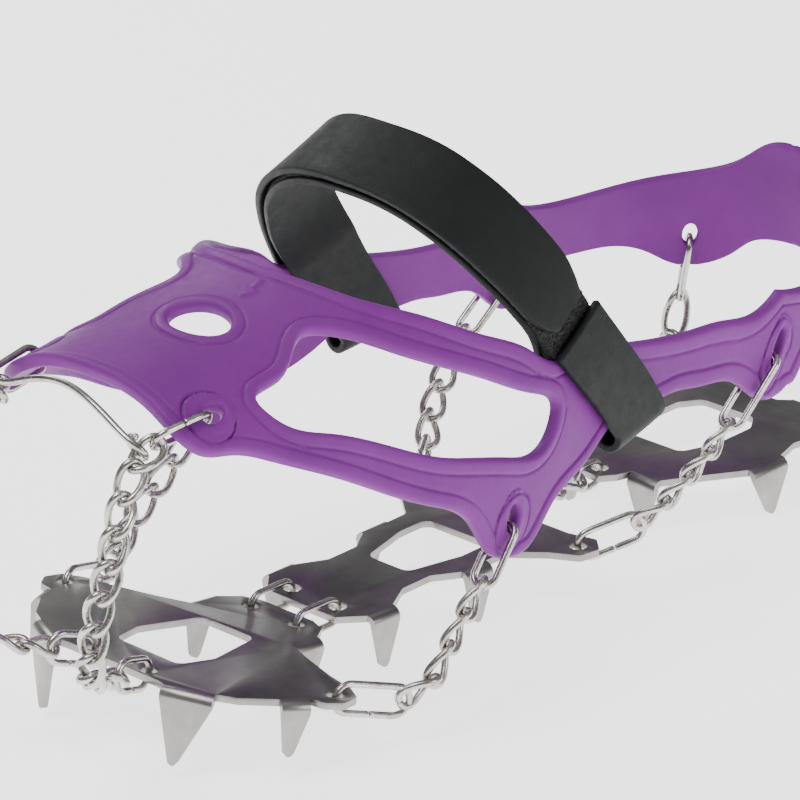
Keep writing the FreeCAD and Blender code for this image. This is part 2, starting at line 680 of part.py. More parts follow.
def parts():
    """Every sub-part by its node name."""
    nodes = {"saddle": saddle(), "heel_band": heel_band(), "instep_strap": instep_strap(),
             "fuzzy_pad": fuzzy_pad(), "strap_end": strap_end(), "front_plate": front_plate(),
             "middle_plate": middle_plate(), "heel_plate": heel_plate()}
    first_links = []
    for side, hand in SIDES.items():
        nodes["side_band_" + side] = ribbon(band_strip(SIDE_BAND, hand))
        chains = side_chains(hand)
        for name, (hook, run, end_ring) in chains.items():
            nodes[name + "_hook_" + side] = hook
            nodes[name + "_chain_" + side] = Part.makeCompound(run)
            nodes[name + "_ring_" + side] = end_ring
        first_links.append(chains["front"][1])
    nodes["toe_bail"] = toe_bail(*first_links)
    rings, run = arch_chain()
    nodes["arch_rings"] = Part.makeCompound(rings)
    nodes["arch_chain"] = Part.makeCompound(run)
    nodes["plate_rings"] = Part.makeCompound(plate_rings())
    return nodes


if __name__ == "__main__":
    os.makedirs("parts", exist_ok=True)
    for node, shape in parts().items():
        show(shape, node)
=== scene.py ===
"""The looks of a chain crampon in its worn shape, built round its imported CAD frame.

Shapes are worked out in millimetres and made in metres.  A place on the boot form is (run, arc):
run is how far ahead of the heel's back it lies, and behind the waist it goes on round the heel;
arc is the way down from the crest, positive to the near side.
"""

import json
import math

import bmesh
import bpy
import numpy as np
from mathutils import Matrix, Vector
from mathutils.geometry import delaunay_2d_cdt


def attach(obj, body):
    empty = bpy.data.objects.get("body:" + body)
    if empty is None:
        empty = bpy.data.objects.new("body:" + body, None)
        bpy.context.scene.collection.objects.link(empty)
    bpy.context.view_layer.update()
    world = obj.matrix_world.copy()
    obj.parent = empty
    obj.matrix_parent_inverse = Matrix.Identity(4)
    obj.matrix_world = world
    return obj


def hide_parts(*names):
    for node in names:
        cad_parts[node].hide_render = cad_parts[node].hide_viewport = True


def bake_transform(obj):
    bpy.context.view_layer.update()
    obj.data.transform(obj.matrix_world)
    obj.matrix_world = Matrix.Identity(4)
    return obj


MM = 0.001
SIDES = {"near": 1, "far": -1}

# ---- the boot form, as in the CAD model ----------------------------------------------------------
MIDDLE = 144.9            # ahead of the heel's back, where the frame's origin lies
FEATHER = 40.0            # height of the boot's feather line
HEEL_START = 62.0         # where the heel starts to round off
HEEL_BACK = 3.0           # the boot's back at band height
HEEL_POWER = 2.2          # how square the heel is in plan
HEEL_STEPS = 360          # steps of the heel's outline, from its start to its back
BALL_AT = 190.0           # where the form is broadest
BALL_REACH = 50.0         # how far back from there the ball's curve goes
BALL_HALF = 51.9          # half the breadth at the ball and where the waist starts
WAIST_HALF = 47.5
WAIST_REACH = 44.0        # how far the waist goes on narrowing
TOE_CREST = (258.0, 97.6)  # where the crest is measured from, and its height there
DEEPEST_ARC = 170         # how far down the form's table reaches

# ---- harness ----
SHEET = 3.2               # thickness of the moulding
EDGE_ROUND = 1.1          # rounding of its outer edges
INNER_ROUND = 0.6         # rounding of the edges that lie on the boot
RIM = 3.0                 # width of the raised rim along every edge
RIM_CROWN = 0.22          # how much the rim is domed
GROOVE = 0.9              # width of the fine groove inside the rim
GROOVE_DEPTH = 0.42
FIELD_DEPTH = 0.3         # how far the field lies below the rim
BOSS = 6.2                # radius of the raised disc round a lug's hole
BOSS_RING = 6.65          # radius of the fine groove on it

# lug holes as (run, arc) on the saddle and (ahead, up) on the heel band
FRONT_LUG = (250.0, 29.3)
MIDDLE_LUG = (173.5, 98.6)
HEEL_LUG = (66.0, 54.5)
REAR_LUG = (14.0, 51.0)
LUG_HOLE = (3.1, 2.0)     # half length and half width of a lug's slot
SLOT_BACK = 1.2           # the slot's middle lies this far back from the hook's wire

# the near half of the saddle as (run, arc), then of the band as (ahead, up)
SADDLE_LOW = [(260.5, 20.0), (260.0, 30.0), (256.5, 36.0), (249.0, 39.3), (240.0, 45.3),
              (225.5, 56.5), (201.5, 76.5), (188.5, 88.0), (185.0, 94.5), (181.0, 102.0),
              (174.0, 107.5), (167.0, 109.0), (162.5, 107.0), (157.5, 104.5), (145.0, 104.8),
              (124.0, 106.4)]
SADDLE_HIGH = [(202.0, 12.5), (196.8, 25.0), (185.5, 38.0), (171.0, 52.5), (158.5, 64.2),
               (149.0, 74.0), (138.0, 77.5)]
BAND_LOW = [(117.0, 57.0), (106.0, 56.5), (96.0, 54.8), (84.0, 52.6), (79.0, 49.5), (74.0, 45.0),
            (67.0, 42.8), (60.0, 44.4), (54.0, 50.0), (44.0, 51.5), (33.0, 51.0), (23.0, 47.5),
            (17.0, 43.4), (11.0, 43.4), (7.0, 47.0), (5.0, 51.0), (3.7, 52.5), (3.0, 53.0)]
BAND_HIGH = [(128.0, 77.0), (117.0, 73.5), (106.0, 71.2), (96.0, 69.8), (84.0, 68.6),
             (67.0, 68.0), (44.0, 67.6), (33.0, 68.0), (23.0, 69.0), (11.0, 71.0), (7.0, 73.5),
             (5.0, 77.0), (3.7, 80.5), (3.0, 82.0)]
WINDOW = [(209.0, 27.2), (196.0, 41.3), (174.5, 61.2), (158.0, 76.2), (152.2, 84.0), (156.0, 88.0),
          (172.0, 82.8), (196.5, 67.2), (223.5, 46.8), (235.0, 36.8), (236.0, 31.2), (228.0, 30.3),
          (220.5, 27.6), (213.5, 24.5)]
FAR_SHIFT = 6.0           # the sheet's centre line lies towards the near side, so the far window's
FAR_FADE = (24.0, 52.0)   # inner edge is this much nearer to the crest, fading out over these arcs
OVAL_CENTRE = (227.5, 3.5)
OVAL_HALF = (6.0, 8.8)
ARROW_FROM = (208.0, 5.6)  # a plain arrow that points to the toe
ARROW_TO = (215.7, 5.8)
ARROW_HEIGHT = 0.6
ARROW_NECK = 4.0          # length of its head
ARROW_HALF = (0.75, 2.3)  # half widths of its shaft and its head

# ---- strap ----
# its two edges by station, from the crest down: (front run, front arc, rear run, rear arc)
STRAP_LINE = [(174.5, 0.0, 155.5, 0.0), (172.3, 20.0, 152.6, 18.5), (167.0, 38.0, 147.8, 34.5),
              (160.0, 54.0, 142.0, 50.0), (153.8, 67.0, 135.6, 64.5), (149.2, 76.5, 130.0, 77.0),
              (143.4, 87.0, 123.6, 90.5), (137.8, 96.5, 117.8, 102.5), (131.8, 107.5, 112.2, 115.5)]
TURN = len(STRAP_LINE) - 1
STRAP = 2.0               # thickness of one ply
STRAP_ROUND = 0.55        # rounding of its long edges
STRAP_HALF = 10.5         # half its width, for the shape of its section
UNDER_BAND = -1.9         # lifts of a ply's middle off the form
ON_INSTEP = 1.8
OVER_BAND = 4.9
PAD = 0.8                 # thickness of the fuzzy layer
PLY_ROWS = 134            # rows of mesh points along the inner ply, from turn to turn,
PLY_STEP = 0.12           # elsewhere one in this many stations
TURN_STEP = 0.16          # and round a turn one in this many radians
PILE_STATIONS = (-4.0, 4.66)
PILE_HALF = 0.9           # how much of the ply's half width it covers
PILE_GRID = (190, 43)     # how many points it has along and across
PILE_TUFT = (0.45, 0.75)  # a tuft's least height and what it may have beyond that, in PADs
PILE_JITTER = 0.36        # how far its tufts stray sideways
PILE_SEED = 11
FREE_LIFT = ON_INSTEP + STRAP + PAD + 0.5
PEEL_STATION = -4.4       # where the free end rises off the band, and two stations beside it, where points of the band are worked out
PEEL_BLEND = (-0.1, 0.9)  # and from where to where beside it
TIP_STATION = 3.98
TIP_LENGTH = 1.1          # the free end tapers over this many stations
LOOP_END = 4.55           # where the near loop's outer ply stops
LOOP_LIFT = 4.5           # and how high its middle lies there
DIP = (3.4, 4.75)         # stations between which the inner ply goes down under the band

# ---- wire ----
CHAIN_WIRE = 1.9
HOOK_WIRE = 1.8
RING_GAP = 0.22           # between a ring's meeting ends
LINK_BULGE = 0.25         # how much a link's sides bow out
LINK_POWER = 2.5          # how square a link's oval is
EYE_RADIUS = 2.9          # of the bail's eyes
EYE_TURN = 1.9 * math.pi  # how far round an eye goes
EYE_RISE = 0.52           # how far its ends lie above and below its middle, in wires
BAIL_STEP = 0.7           # spacing of points along the bail
BAIL_CROWN = [(270.8, 18.5, 94.8), (269.8, 9.5, 98.0), (268.8, 0.0, 99.2)]  # (ahead, side, up)

# a point inside the boot that each chain's flat side faces away from: (ahead, side, up)
CHAIN_CORES = {"front": (235.0, 0.0, 52.0), "middle": (195.0, 20.0, 40.0),
               "heel": (95.0, 15.0, 50.0), "rear": (45.0, 0.0, 30.0)}
ARCH_CORE = (100.0, 0.0, -40.0)  # the arch chain's flat side faces up, away from this

PLATE_ROUND = 0.32        # rounding of the plates' cut edges

# ---- view ----
VIEW_FROM = (44.2, 23.5)  # azimuth and elevation of the camera, in degrees
VIEW_ROLL = -1.1
VIEW_DISTANCE = 1.4
VIEW_TARGET = (0.0, MIDDLE - 150.0, 60.0)
VIEW_LENS = 250.4
VIEW_SHIFT = (-0.0211, -0.019)
SKY = ((0.0, 0.10), (0.18, 0.34), (0.45, 0.20), (1.0, 0.58))  # (height, shade)
LAMPS = {"key": ((-0.15, -0.55, 1.25), 0.7, 11.0), "side": ((1.15, 0.25, 0.55), 0.5, 4.5),
         "edge": ((-0.9, 0.25, 0.7), 0.35, 3.0)}  # place, size and power
LAMP_TARGET = (0.0, 0.0, 0.05)


# ---- the form ----
def running(steps):
    """The sum of the steps before each place, from 0."""
    return np.concatenate([[0.0], np.cumsum(steps)])


def half_width(ahead):
    """Half the form's breadth: a rounded ball, then a slow taper to the waist."""
    back = BALL_AT - ahead
    taper = np.clip(back - BALL_REACH, 0.0, WAIST_REACH)
    waist = WAIST_HALF - 0.14 * taper + 0.0016 * taper ** 2
    return np.where(back < BALL_REACH, BALL_HALF - 0.00175 * back ** 2, waist)


def crest(ahead):
    """Height of the form's top, which climbs ever faster to the instep."""
    back = TOE_CREST[0] - ahead
    return TOE_CREST[1] + 0.03 * back + 0.0026 * back * back


def form_table():
    """Side and height of the form by whole millimetres of run (from HEEL_START) and arc."""
    arcs = np.arange(DEEPEST_ARC + 1.0)
    angle = np.linspace(0.0, math.pi / 2, 481)
    sides, ups = [], []
    for ahead in np.arange(HEEL_START, 301.0):
        # the section grows squarer from the instep to the toe
        power = 2.0 / (2.0 + 0.6 * (ahead - 140.0) / 118.0)
        side = half_width(ahead) * np.sin(angle) ** power
        up = FEATHER + (crest(ahead) - FEATHER) * np.clip(np.cos(angle), 0.0, 1.0) ** power
        arc = running(np.hypot(np.diff(side), np.diff(up)))
        sides.append(np.interp(arcs, arc, side))
        ups.append(np.interp(arcs, arc, up) - np.clip(arcs - arc[-1], 0.0, None))
    return np.array(sides), np.array(ups)


def heel_table():
    """The form's outline in plan round the heel: length so far, ahead and side, and a bit beyond."""
    angle = np.linspace(0.0, math.pi / 2, HEEL_STEPS + 1)
    power = 2.0 / HEEL_POWER
    ahead = HEEL_START - (HEEL_START - HEEL_BACK) * np.sin(angle) ** power
    side = half_width(HEEL_START) * np.clip(np.cos(angle), 0.0, 1.0) ** power
    length = running(np.hypot(np.diff(ahead), np.diff(side)))
    beyond = slice(-2, -60, -1)
    length = np.concatenate([length, 2 * length[-1] - length[beyond]])
    return length, np.concatenate([ahead, ahead[beyond]]), np.concatenate([side, -side[beyond]])


FORM_SIDE, FORM_UP = form_table()
HEEL_RUN, HEEL_AHEAD, HEEL_SIDE = heel_table()
BACK_RUN = HEEL_START - HEEL_RUN[HEEL_STEPS]


def from_table(table, row, column):
    """Bilinear look-up."""
    row = np.clip(row, 0.0, table.shape[0] - 1.001)
    column = np.clip(column, 0.0, table.shape[1] - 1.001)
    r, c = row.astype(int), column.astype(int)
    fr, fc = row - r, column - c
    low = table[r, c] * (1 - fc) + table[r, c + 1] * fc
    high = table[r + 1, c] * (1 - fc) + table[r + 1, c + 1] * fc
    return low * (1 - fr) + high * fr


def form(run, arc):
    """Points of the form, in the frame's millimetres."""
    run, arc = np.broadcast_arrays(np.asarray(run, float), np.asarray(arc, float))
    reach = np.abs(arc)
    hand = np.where(arc < 0, -1.0, 1.0)
    side = from_table(FORM_SIDE, run - HEEL_START, reach)
    up = from_table(FORM_UP, run - HEEL_START, reach)
    behind = HEEL_START - run
    round_heel = behind > 0
    ahead = np.interp(behind, HEEL_RUN, HEEL_AHEAD)
    plan_side = np.interp(behind, HEEL_RUN, HEEL_SIDE)
    on, before = behind + 0.5, behind - 0.5
    along_ahead = np.interp(on, HEEL_RUN, HEEL_AHEAD) - np.interp(before, HEEL_RUN, HEEL_AHEAD)
    along_side = np.interp(on, HEEL_RUN, HEEL_SIDE) - np.interp(before, HEEL_RUN, HEEL_SIDE)
    size = np.hypot(along_ahead, along_side) + 1e-9
    inset = half_width(HEEL_START) - side
    ahead = np.where(round_heel, ahead - inset * along_side / size, run)
    side = np.where(round_heel, plan_side + inset * along_ahead / size, side)
    return np.stack([side * hand, MIDDLE - ahead, up], axis=-1)


def lifted(run, arc, lift):
    """Points lifted off the form along its normal, in metres."""
    step = 0.5
    run, arc, lift = np.broadcast_arrays(*(np.asarray(v, float) for v in (run, arc, lift)))
    along = form(run + step, arc) - form(run - step, arc)
    down = form(run, arc + step) - form(run, arc - step)
    normal = np.cross(along, down)
    normal /= np.linalg.norm(normal, axis=-1, keepdims=True)
    return (form(run, arc) + normal * lift[..., None]) * MM


def run_of(ahead):
    """The run of a place on the form's outline, from how far ahead it is."""
    if ahead >= HEEL_START:
        return ahead
    near = slice(HEEL_STEPS + 1)
    return HEEL_START - float(np.interp(-ahead, -HEEL_AHEAD[near], HEEL_RUN[near]))


def arc_of(run, up):
    """The arc of a place on the form, from its height."""
    row = min(max(run - HEEL_START, 0.0), FORM_UP.shape[0] - 1.001)
    ups = from_table(FORM_UP, np.full(DEEPEST_ARC + 1, row), np.arange(DEEPEST_ARC + 1.0))
    return float(np.interp(-up, -ups, np.arange(DEEPEST_ARC + 1.0)))


def band_place(place):
    """(ahead, up) as (run, arc)."""
    run = run_of(place[0])
    return run, arc_of(run, place[1])


# ---- curves ----
def gaps(points):
    """The distance from each point to the next."""
    return np.linalg.norm(np.diff(points, axis=0), axis=1)


def directions(points, closed):
    """Unit directions along a line of points."""
    ahead = np.roll(points, -1, axis=0) - np.roll(points, 1, axis=0)
    if not closed:
        ahead[0] = points[1] - points[0]
        ahead[-1] = points[-1] - points[-2]
    return ahead / np.linalg.norm(ahead, axis=1, keepdims=True)


def spline(points, closed=False):
    """A smooth curve through points, as a function of chord length, with its first and last length."""
    points = np.array(points, float)
    if closed:
        points = np.concatenate([points[-3:], points, points[:4]])
    chord = running(gaps(points))
    gap = np.diff(chord)
    count = len(points)
    matrix = np.zeros((count, count))
    right = np.zeros_like(points)
    matrix[0, 0] = matrix[-1, -1] = 1.0
    for n in range(1, count - 1):
        matrix[n, n - 1:n + 2] = gap[n - 1], 2 * (gap[n - 1] + gap[n]), gap[n]
        right[n] = 6 * ((points[n + 1] - points[n]) / gap[n] - (points[n] - points[n - 1]) / gap[n - 1])
    bend = np.linalg.solve(matrix, right)

    def place(at):
        at = np.atleast_1d(np.asarray(at, float))
        n = np.clip(np.searchsorted(chord, at, side="right") - 1, 0, count - 2)
        t, h = at - chord[n], gap[n]
        a, b = bend[n] / 6, bend[n + 1] / 6
        h, t = h[:, None], t[:, None]
        return (a * (h - t) ** 3 / h + b * t ** 3 / h + (points[n] / h - a * h) * (h - t)
                + (points[n + 1] / h - b * h) * t)

    first, last = (3, count - 4) if closed else (0, count - 1)
    return place, chord[first], chord[last]


def sampled(points, step, closed=False, trim=0):
    """Evenly spaced points of the smooth curve; trim leaves out that many end spans each side."""
    place, start, end = spline(points, closed)
    if trim:
        lengths = gaps(np.array(points, float))
        start, end = start + lengths[:trim].sum(), end - lengths[-trim:].sum()
    dense = place(np.linspace(start, end, 4000))
    length = running(gaps(dense))
    count = max(int(round(length[-1] / step)), 6)
    stops = np.linspace(0.0, length[-1], count + 1)
    result = np.stack([np.interp(stops, length, dense[:, k]) for k in range(dense.shape[1])], axis=1)
    return result[:-1] if closed else result


def mirror(points):
    """The far side's (run, arc) for the near side's."""
    return [(run, -arc) for run, arc in points]


def smoothstep(value):
    """Eases from 0 to 1."""
    value = np.clip(value, 0.0, 1.0)
    return value * value * (3 - 2 * value)


# ---- mesh helpers ----
def make_object(name, points, faces, material, smooth=True):
    """A mesh object from points in metres and faces."""
    mesh = bpy.data.meshes.new(name)
    mesh.from_pydata([tuple(p) for p in points], [], [tuple(int(n) for n in f) for f in faces])
    mesh.update()
    mesh.polygons.foreach_set("use_smooth", [smooth] * len(mesh.polygons))
    mesh.materials.append(material)
    piece = bpy.data.objects.new(name, mesh)
    bpy.context.scene.collection.objects.link(piece)
    return piece


def frames_along(points, closed, first_normal):
    """Unit tangents, and normals carried along without twist."""
    tangents = directions(points, closed)
    normals = np.zeros_like(points)
    normal = np.array(first_normal, float)
    for n, tangent in enumerate(tangents):
        normal = normal - tangent * normal.dot(tangent)
        normal /= np.linalg.norm(normal)
        normals[n] = normal
    return tangents, normals


def ring_faces(rows, around, closed):
    """Quads between rings of points, with a face over each end of an open row."""
    faces = []
    for n in range(rows if closed else rows - 1):
        here, after = n * around, (n + 1) % rows * around
        for k in range(around):
            next_k = (k + 1) % around
            faces.append((here + k, here + next_k, after + next_k, after + k))
    if not closed:
        faces.append(tuple(range(around))[::-1])
        faces.append(tuple((rows - 1) * around + k for k in range(around)))
    return faces


def rework(mesh, work):
    """Runs a function on a mesh in its editable form."""
    body = bmesh.new()
    body.from_mesh(mesh)
    work(body)
    body.to_mesh(mesh)
    body.free()


def face_outwards(piece):
    """Turns every face of a closed piece outwards."""
    rework(piece.data, lambda body: bmesh.ops.recalc_face_normals(body, faces=body.faces))
    return piece


def tube_data(points, radius, closed, around, first_normal=(0.31, 0.52, 0.79)):
    """Vertices and faces of a round wire along points, in metres, with rounded open ends."""
    points = np.array(points, float)
    tangents, normals = frames_along(points, closed, first_normal)
    radii = np.full(len(points), radius)
    if not closed:
        ends = np.array([0.0, 0.25, 0.6, 1.0]) * radius * 0.5
        scale = np.array([0.55, 0.83, 0.96, 1.0])
        head = [points[0] + tangents[0] * e for e in ends]
        tail = [points[-1] - tangents[-1] * e for e in ends[::-1]]
        points = np.concatenate([head, points[1:-1], tail])
        radii = np.concatenate([scale * radius, radii[1:-1], scale[::-1] * radius])
        pad = len(ends) - 1
        tangents = np.concatenate([[tangents[0]] * pad, tangents, [tangents[-1]] * pad])
        normals = np.concatenate([[normals[0]] * pad, normals, [normals[-1]] * pad])
    sides = np.cross(tangents, normals)
    angle = np.arange(around) * 2 * math.pi / around
    rings = (points[:, None] + radii[:, None, None] * (np.cos(angle)[None, :, None] * normals[:, None]
             + np.sin(angle)[None, :, None] * sides[:, None]))
    return rings.reshape(-1, 3), ring_faces(len(points), around, closed)


def join_data(parts):
    """Several (vertices, faces) as one."""
    points, faces, start = [], [], 0
    for some_points, some_faces in parts:
        points.append(some_points)
        faces += [tuple(n + start for n in face) for face in some_faces]
        start += len(some_points)
    return np.concatenate(points), faces


# ---- materials ----
def painted(name, tint, stops, gloss, dull, bumps, **sockets):
    """A Principled material: colours from one noise field, roughness from another, bumps from more.

    A field is (scale, detail, roughness, stretch) and lies in the piece's own space.  Stops are
    (value, shade), where a shade is a number or a colour, and bumps are (field, strength, distance),
    each over the last.  The sockets' names are written with underscores.
    """
    material = bpy.data.materials.new(name)
    material.use_nodes = True
    nodes, links = material.node_tree.nodes, material.node_tree.links
    shader = nodes["Principled BSDF"]
    place = nodes.new("ShaderNodeTexCoord").outputs["Object"]

    def noise(scale, detail, rough, stretch=(1, 1, 1)):
        mapping = nodes.new("ShaderNodeMapping")
        mapping.inputs["Scale"].default_value = stretch
        links.new(place, mapping.inputs["Vector"])
        node = nodes.new("ShaderNodeTexNoise")
        node.inputs["Scale"].default_value = scale
        node.inputs["Detail"].default_value = detail
        node.inputs["Roughness"].default_value = rough
        links.new(mapping.outputs["Vector"], node.inputs["Vector"])
        return node.outputs["Fac"]

    def ramp(field, shades, socket):
        node = nodes.new("ShaderNodeValToRGB")
        elements = node.color_ramp.elements
        while len(elements) < len(shades):
            elements.new(0.5)
        for element, (value, shade) in zip(elements, shades):
            element.position = value
            element.color = (*np.broadcast_to(shade, 3), 1.0)
        links.new(noise(*field), node.inputs["Fac"])
        links.new(node.outputs["Color"], shader.inputs[socket])

    ramp(tint, stops, "Base Color")
    if gloss:
        ramp(gloss, dull, "Roughness")
    below = None
    for field, strength, distance in bumps:
        node = nodes.new("ShaderNodeBump")
        node.inputs["Strength"].default_value = strength
        node.inputs["Distance"].default_value = distance
        links.new(noise(*field), node.inputs["Height"])
        if below is not None:
            links.new(below, node.inputs["Normal"])
        below = node.outputs["Normal"]
    links.new(below, shader.inputs["Normal"])
    for socket, value in sockets.items():
        shader.inputs[socket.replace("_", " ")].default_value = value
    return material


def harness_paint():
    """Satin violet elastomer with a fine moulded grain and faint clouding."""
    return painted(
        "violet_elastomer", (38.0, 5.0, 0.6),
        [(0.32, (0.172, 0.021, 0.226)), (0.50, (0.190, 0.025, 0.245)), (0.70, (0.208, 0.031, 0.264))],
        (420.0, 3.0, 0.7), [(0.35, 0.42), (0.65, 0.54)],
        [((2600.0, 2.0, 0.5), 0.14, 0.0002), ((95.0, 2.0, 0.5), 0.10, 0.0008)],
        Subsurface_Weight=0.08, Subsurface_Radius=(0.004, 0.0015, 0.005), Subsurface_Scale=0.4,
        Specular_IOR_Level=0.18)


def strap_paint():
    """Matte charcoal rubber with a fine leathery grain and paler scuffs."""
    return painted(
        "charcoal_rubber", (70.0, 6.0, 0.65),
        [(0.30, (0.0085, 0.0095, 0.0097)), (0.55, (0.0100, 0.0113, 0.0115)),
         (0.78, (0.0128, 0.0144, 0.0147))],
        (300.0, 4.0, 0.7), [(0.35, 0.50), (0.68, 0.62)],
        [((1500.0, 3.0, 0.6), 0.30, 0.0003), ((120.0, 2.0, 0.5), 0.10, 0.0006)],
        Specular_IOR_Level=0.20)


def fuzzy_paint():
    """Black loop pile."""
    pile = (2200.0, 3.0, 0.7)
    return painted(
        "loop_pile", pile,
        [(0.35, (0.0015, 0.0015, 0.0018)), (0.60, (0.005, 0.005, 0.0055)),
         (0.80, (0.014, 0.014, 0.015))],
        None, None, [(pile, 0.9, 0.0006)],
        Roughness=0.9, Sheen_Weight=0.08, Sheen_Roughness=0.6)


def steel_paint():
    """Satin stainless sheet: a rolled grain along the foot and soft stains."""
    rolled = (900.0, 4.0, 0.7, (1.0, 0.05, 1.0))
    return painted(
        "satin_stainless_sheet", (60.0, 6.0, 0.65),
        [(0.30, (0.23, 0.222, 0.21)), (0.55, (0.31, 0.302, 0.288)), (0.75, (0.39, 0.38, 0.362))],
        rolled, [(0.30, 0.29), (0.70, 0.37)],
        [(rolled, 0.006, 0.0001), ((160.0, 3.0, 0.5), 0.07, 0.0004)], Metallic=1.0)


def wire_paint(name, low, high):
    """Bright drawn wire with faint scratches and dulled patches."""
    scratched = (1400.0, 4.0, 0.7)
    return painted(
        name, (210.0, 5.0, 0.6),
        [(0.32, (0.34, 0.325, 0.30)), (0.52, (0.50, 0.48, 0.45)), (0.72, (0.64, 0.62, 0.585))],
        scratched, [(0.32, low), (0.68, high)], [(scratched, 0.07, 0.0002)], Metallic=1.0)


def floor_paint():
    """A bright studio floor that glows, as a lit backdrop does."""
    material = bpy.data.materials.new("studio_floor")
    material.use_nodes = True
    shader = material.node_tree.nodes["Principled BSDF"]
    shader.inputs["Base Color"].default_value = (0.90, 0.90, 0.90, 1.0)
    shader.inputs["Roughness"].default_value = 0.75
    shader.inputs["Emission Color"].default_value = (1.0, 1.0, 1.0, 1.0)
    shader.inputs["Emission Strength"].default_value = 2.0
    return material


# ---- harness ----
# mesh points lie along the outlines, in lines beside them and in rings round the lugs, which are
# closest where the grooves are, and apart from those in a plain field
EDGE_STEP = 1.25
SLOT_STEP = 0.5
RINGS = (0.13, 0.42, 0.78, 1.15, 1.9, 2.65, 3.0, 3.22, 3.45, 3.68, 3.9, 4.5, 5.6)
RING_SLACK = 0.03         # how much nearer to another edge a line's point may lie
BOSS_RINGS = (5.2, 6.0, 6.2, 6.42, 6.65, 6.88, 7.1, 7.7, 8.4)
FIELD_STEP = 2.3
ROW_SHARE = 0.87          # rows of the field lie this share of its spacing apart
FIELD_END = (262.0, 125.0)  # run and arc that the field reaches
EDGE_CLEAR = 4.6          # what the field keeps off outlines and lug holes
BOSS_CLEAR = 9.2
ARROW_STEP = 0.33
CELL = 0.2                # no two loose points share a square of this size
OUTLINE_CLEAR = 0.1       # what loose points keep off outlines and off the seam at the heel's back
SEAM_CLEAR = 0.25
WELD = 0.03               # points of the finished skin this close become one
BATCH = 3000              # how many points are measured at once, to save memory


def lug_places():
    """Every lug hole's middle as (run, arc), with the way back from its hook's pull."""
    places = []
    for hand in SIDES.values():
        heel, rear = band_place(HEEL_LUG), band_place(REAR_LUG)
        for (run, arc), back in ((FRONT_LUG, (-1.0, 0.0)), (MIDDLE_LUG, (-0.2, -0.98)),
                                 (heel, (-0.79, -0.61)), (rear, (-0.15, -0.99))):
            places.append(((run, arc * hand), (back[0], back[1] * hand)))
    return places


LUGS = lug_places()


def lug_slot(place, back):
    """A slot's outline: an oval along the pull, round the hook's wire."""
    length, width = LUG_HOLE
    turns = [2 * math.pi * n / 20 for n in range(20)]
    return [(place[0] + back[0] * (SLOT_BACK + length * math.cos(t)) - back[1] * width * math.sin(t),
             place[1] + back[1] * (SLOT_BACK + length * math.cos(t)) + back[0] * width * math.sin(t))
            for t in turns]


def far_window():
    """The near window mirrored, with its inner edge drawn nearer to the crest."""
    start, end = FAR_FADE
    return [(run, FAR_SHIFT * (1 - smoothstep((arc - start) / (end - start))) - arc)
            for run, arc in WINDOW]


def harness_outlines():
    """Open edges that end at the heel's back, closed holes, and the whole outline as one loop."""
    low = SADDLE_LOW + [band_place(place) for place in BAND_LOW]
    high = SADDLE_HIGH + [band_place(place) for place in BAND_HIGH]
    edges = []
    for line in (low, high):
        before = (2 * line[-1][0] - line[-2][0], line[-2][1])
        near = line + [before]
        whole = mirror(near)[::-1] + near
        edge = sampled(whole, EDGE_STEP, trim=1)
        edge[0][0] = edge[-1][0] = BACK_RUN
        edges.append(edge)
    oval = [(OVAL_CENTRE[0] + OVAL_HALF[0] * math.cos(t), OVAL_CENTRE[1] + OVAL_HALF[1] * math.sin(t))
            for t in np.linspace(0, 2 * math.pi, 24, endpoint=False)]
    holes = [sampled(shape, EDGE_STEP, closed=True) for shape in (oval, WINDOW, far_window())]
    holes += [sampled(lug_slot(*lug), SLOT_STEP, closed=True) for lug in LUGS]
    seam = np.linspace(edges[1][-1][1], edges[0][-1][1], 22)[1:-1]
    seam_near = np.stack([np.full(len(seam), BACK_RUN), seam], axis=1)
    seam_far = seam_near[::-1] * (1, -1)
    loop = np.concatenate([edges[0], seam_near[::-1], edges[1][::-1], seam_far[::-1]])
    return edges, holes, loop


def batched(measure):
    """Lets a measure of points against segments run on some points at a time."""
    def whole(points, starts, ends):
        return np.concatenate([measure(points[first:first + BATCH], starts, ends)
                               for first in range(0, len(points), BATCH)])
    return whole


@batched
def segment_distance(points, starts, ends):
    """Each point's distance to the nearest of many segments."""
    span = ends - starts
    size = (span ** 2).sum(1) + 1e-12
    offset = points[:, None] - starts[None]
    share = np.clip((offset * span).sum(2) / size, 0.0, 1.0)
    gap = offset - share[..., None] * span
    return np.sqrt((gap ** 2).sum(2).min(1))


@batched
def inside(points, starts, ends):
    """Whether each point is inside, by counting crossings."""
    x, y = points[:, :1], points[:, 1:]
    crosses = (starts[:, 1] > y) != (ends[:, 1] > y)
    rise = np.where(np.abs(ends[:, 1] - starts[:, 1]) < 1e-12, 1e-12, ends[:, 1] - starts[:, 1])
    at = starts[:, 0] + (y - starts[:, 1]) / rise * (ends[:, 0] - starts[:, 0])
    return (crosses & (x < at)).sum(1) % 2 == 1


def lug_distance(points):
    """Each point's distance to the nearest lug hole's middle."""
    return np.min([np.hypot(points[:, 0] - run, points[:, 1] - arc) for (run, arc), _ in LUGS], axis=0)


def arrow_shape():
    """The arrow's outline, as (run, arc)."""
    start, tip = np.array(ARROW_FROM), np.array(ARROW_TO)
    shaft, head = ARROW_HALF
    along = (tip - start) / np.linalg.norm(tip - start)
    across = np.array([-along[1], along[0]])
    neck = tip - along * ARROW_NECK
    return np.array([start - across * shaft, neck - across * shaft, neck - across * head, tip,
                     neck + across * head, neck + across * shaft, start + across * shaft])


def offset_points(curve, closed, distance, starts, ends, probe):
    """The curve moved into the sheet by a distance, where that is its true distance."""
    along = directions(curve, closed)
    normal = np.stack([-along[:, 1], along[:, 0]], axis=1)
    moved = curve + normal * distance * probe
    return moved[segment_distance(moved, starts, ends) > distance - RING_SLACK]


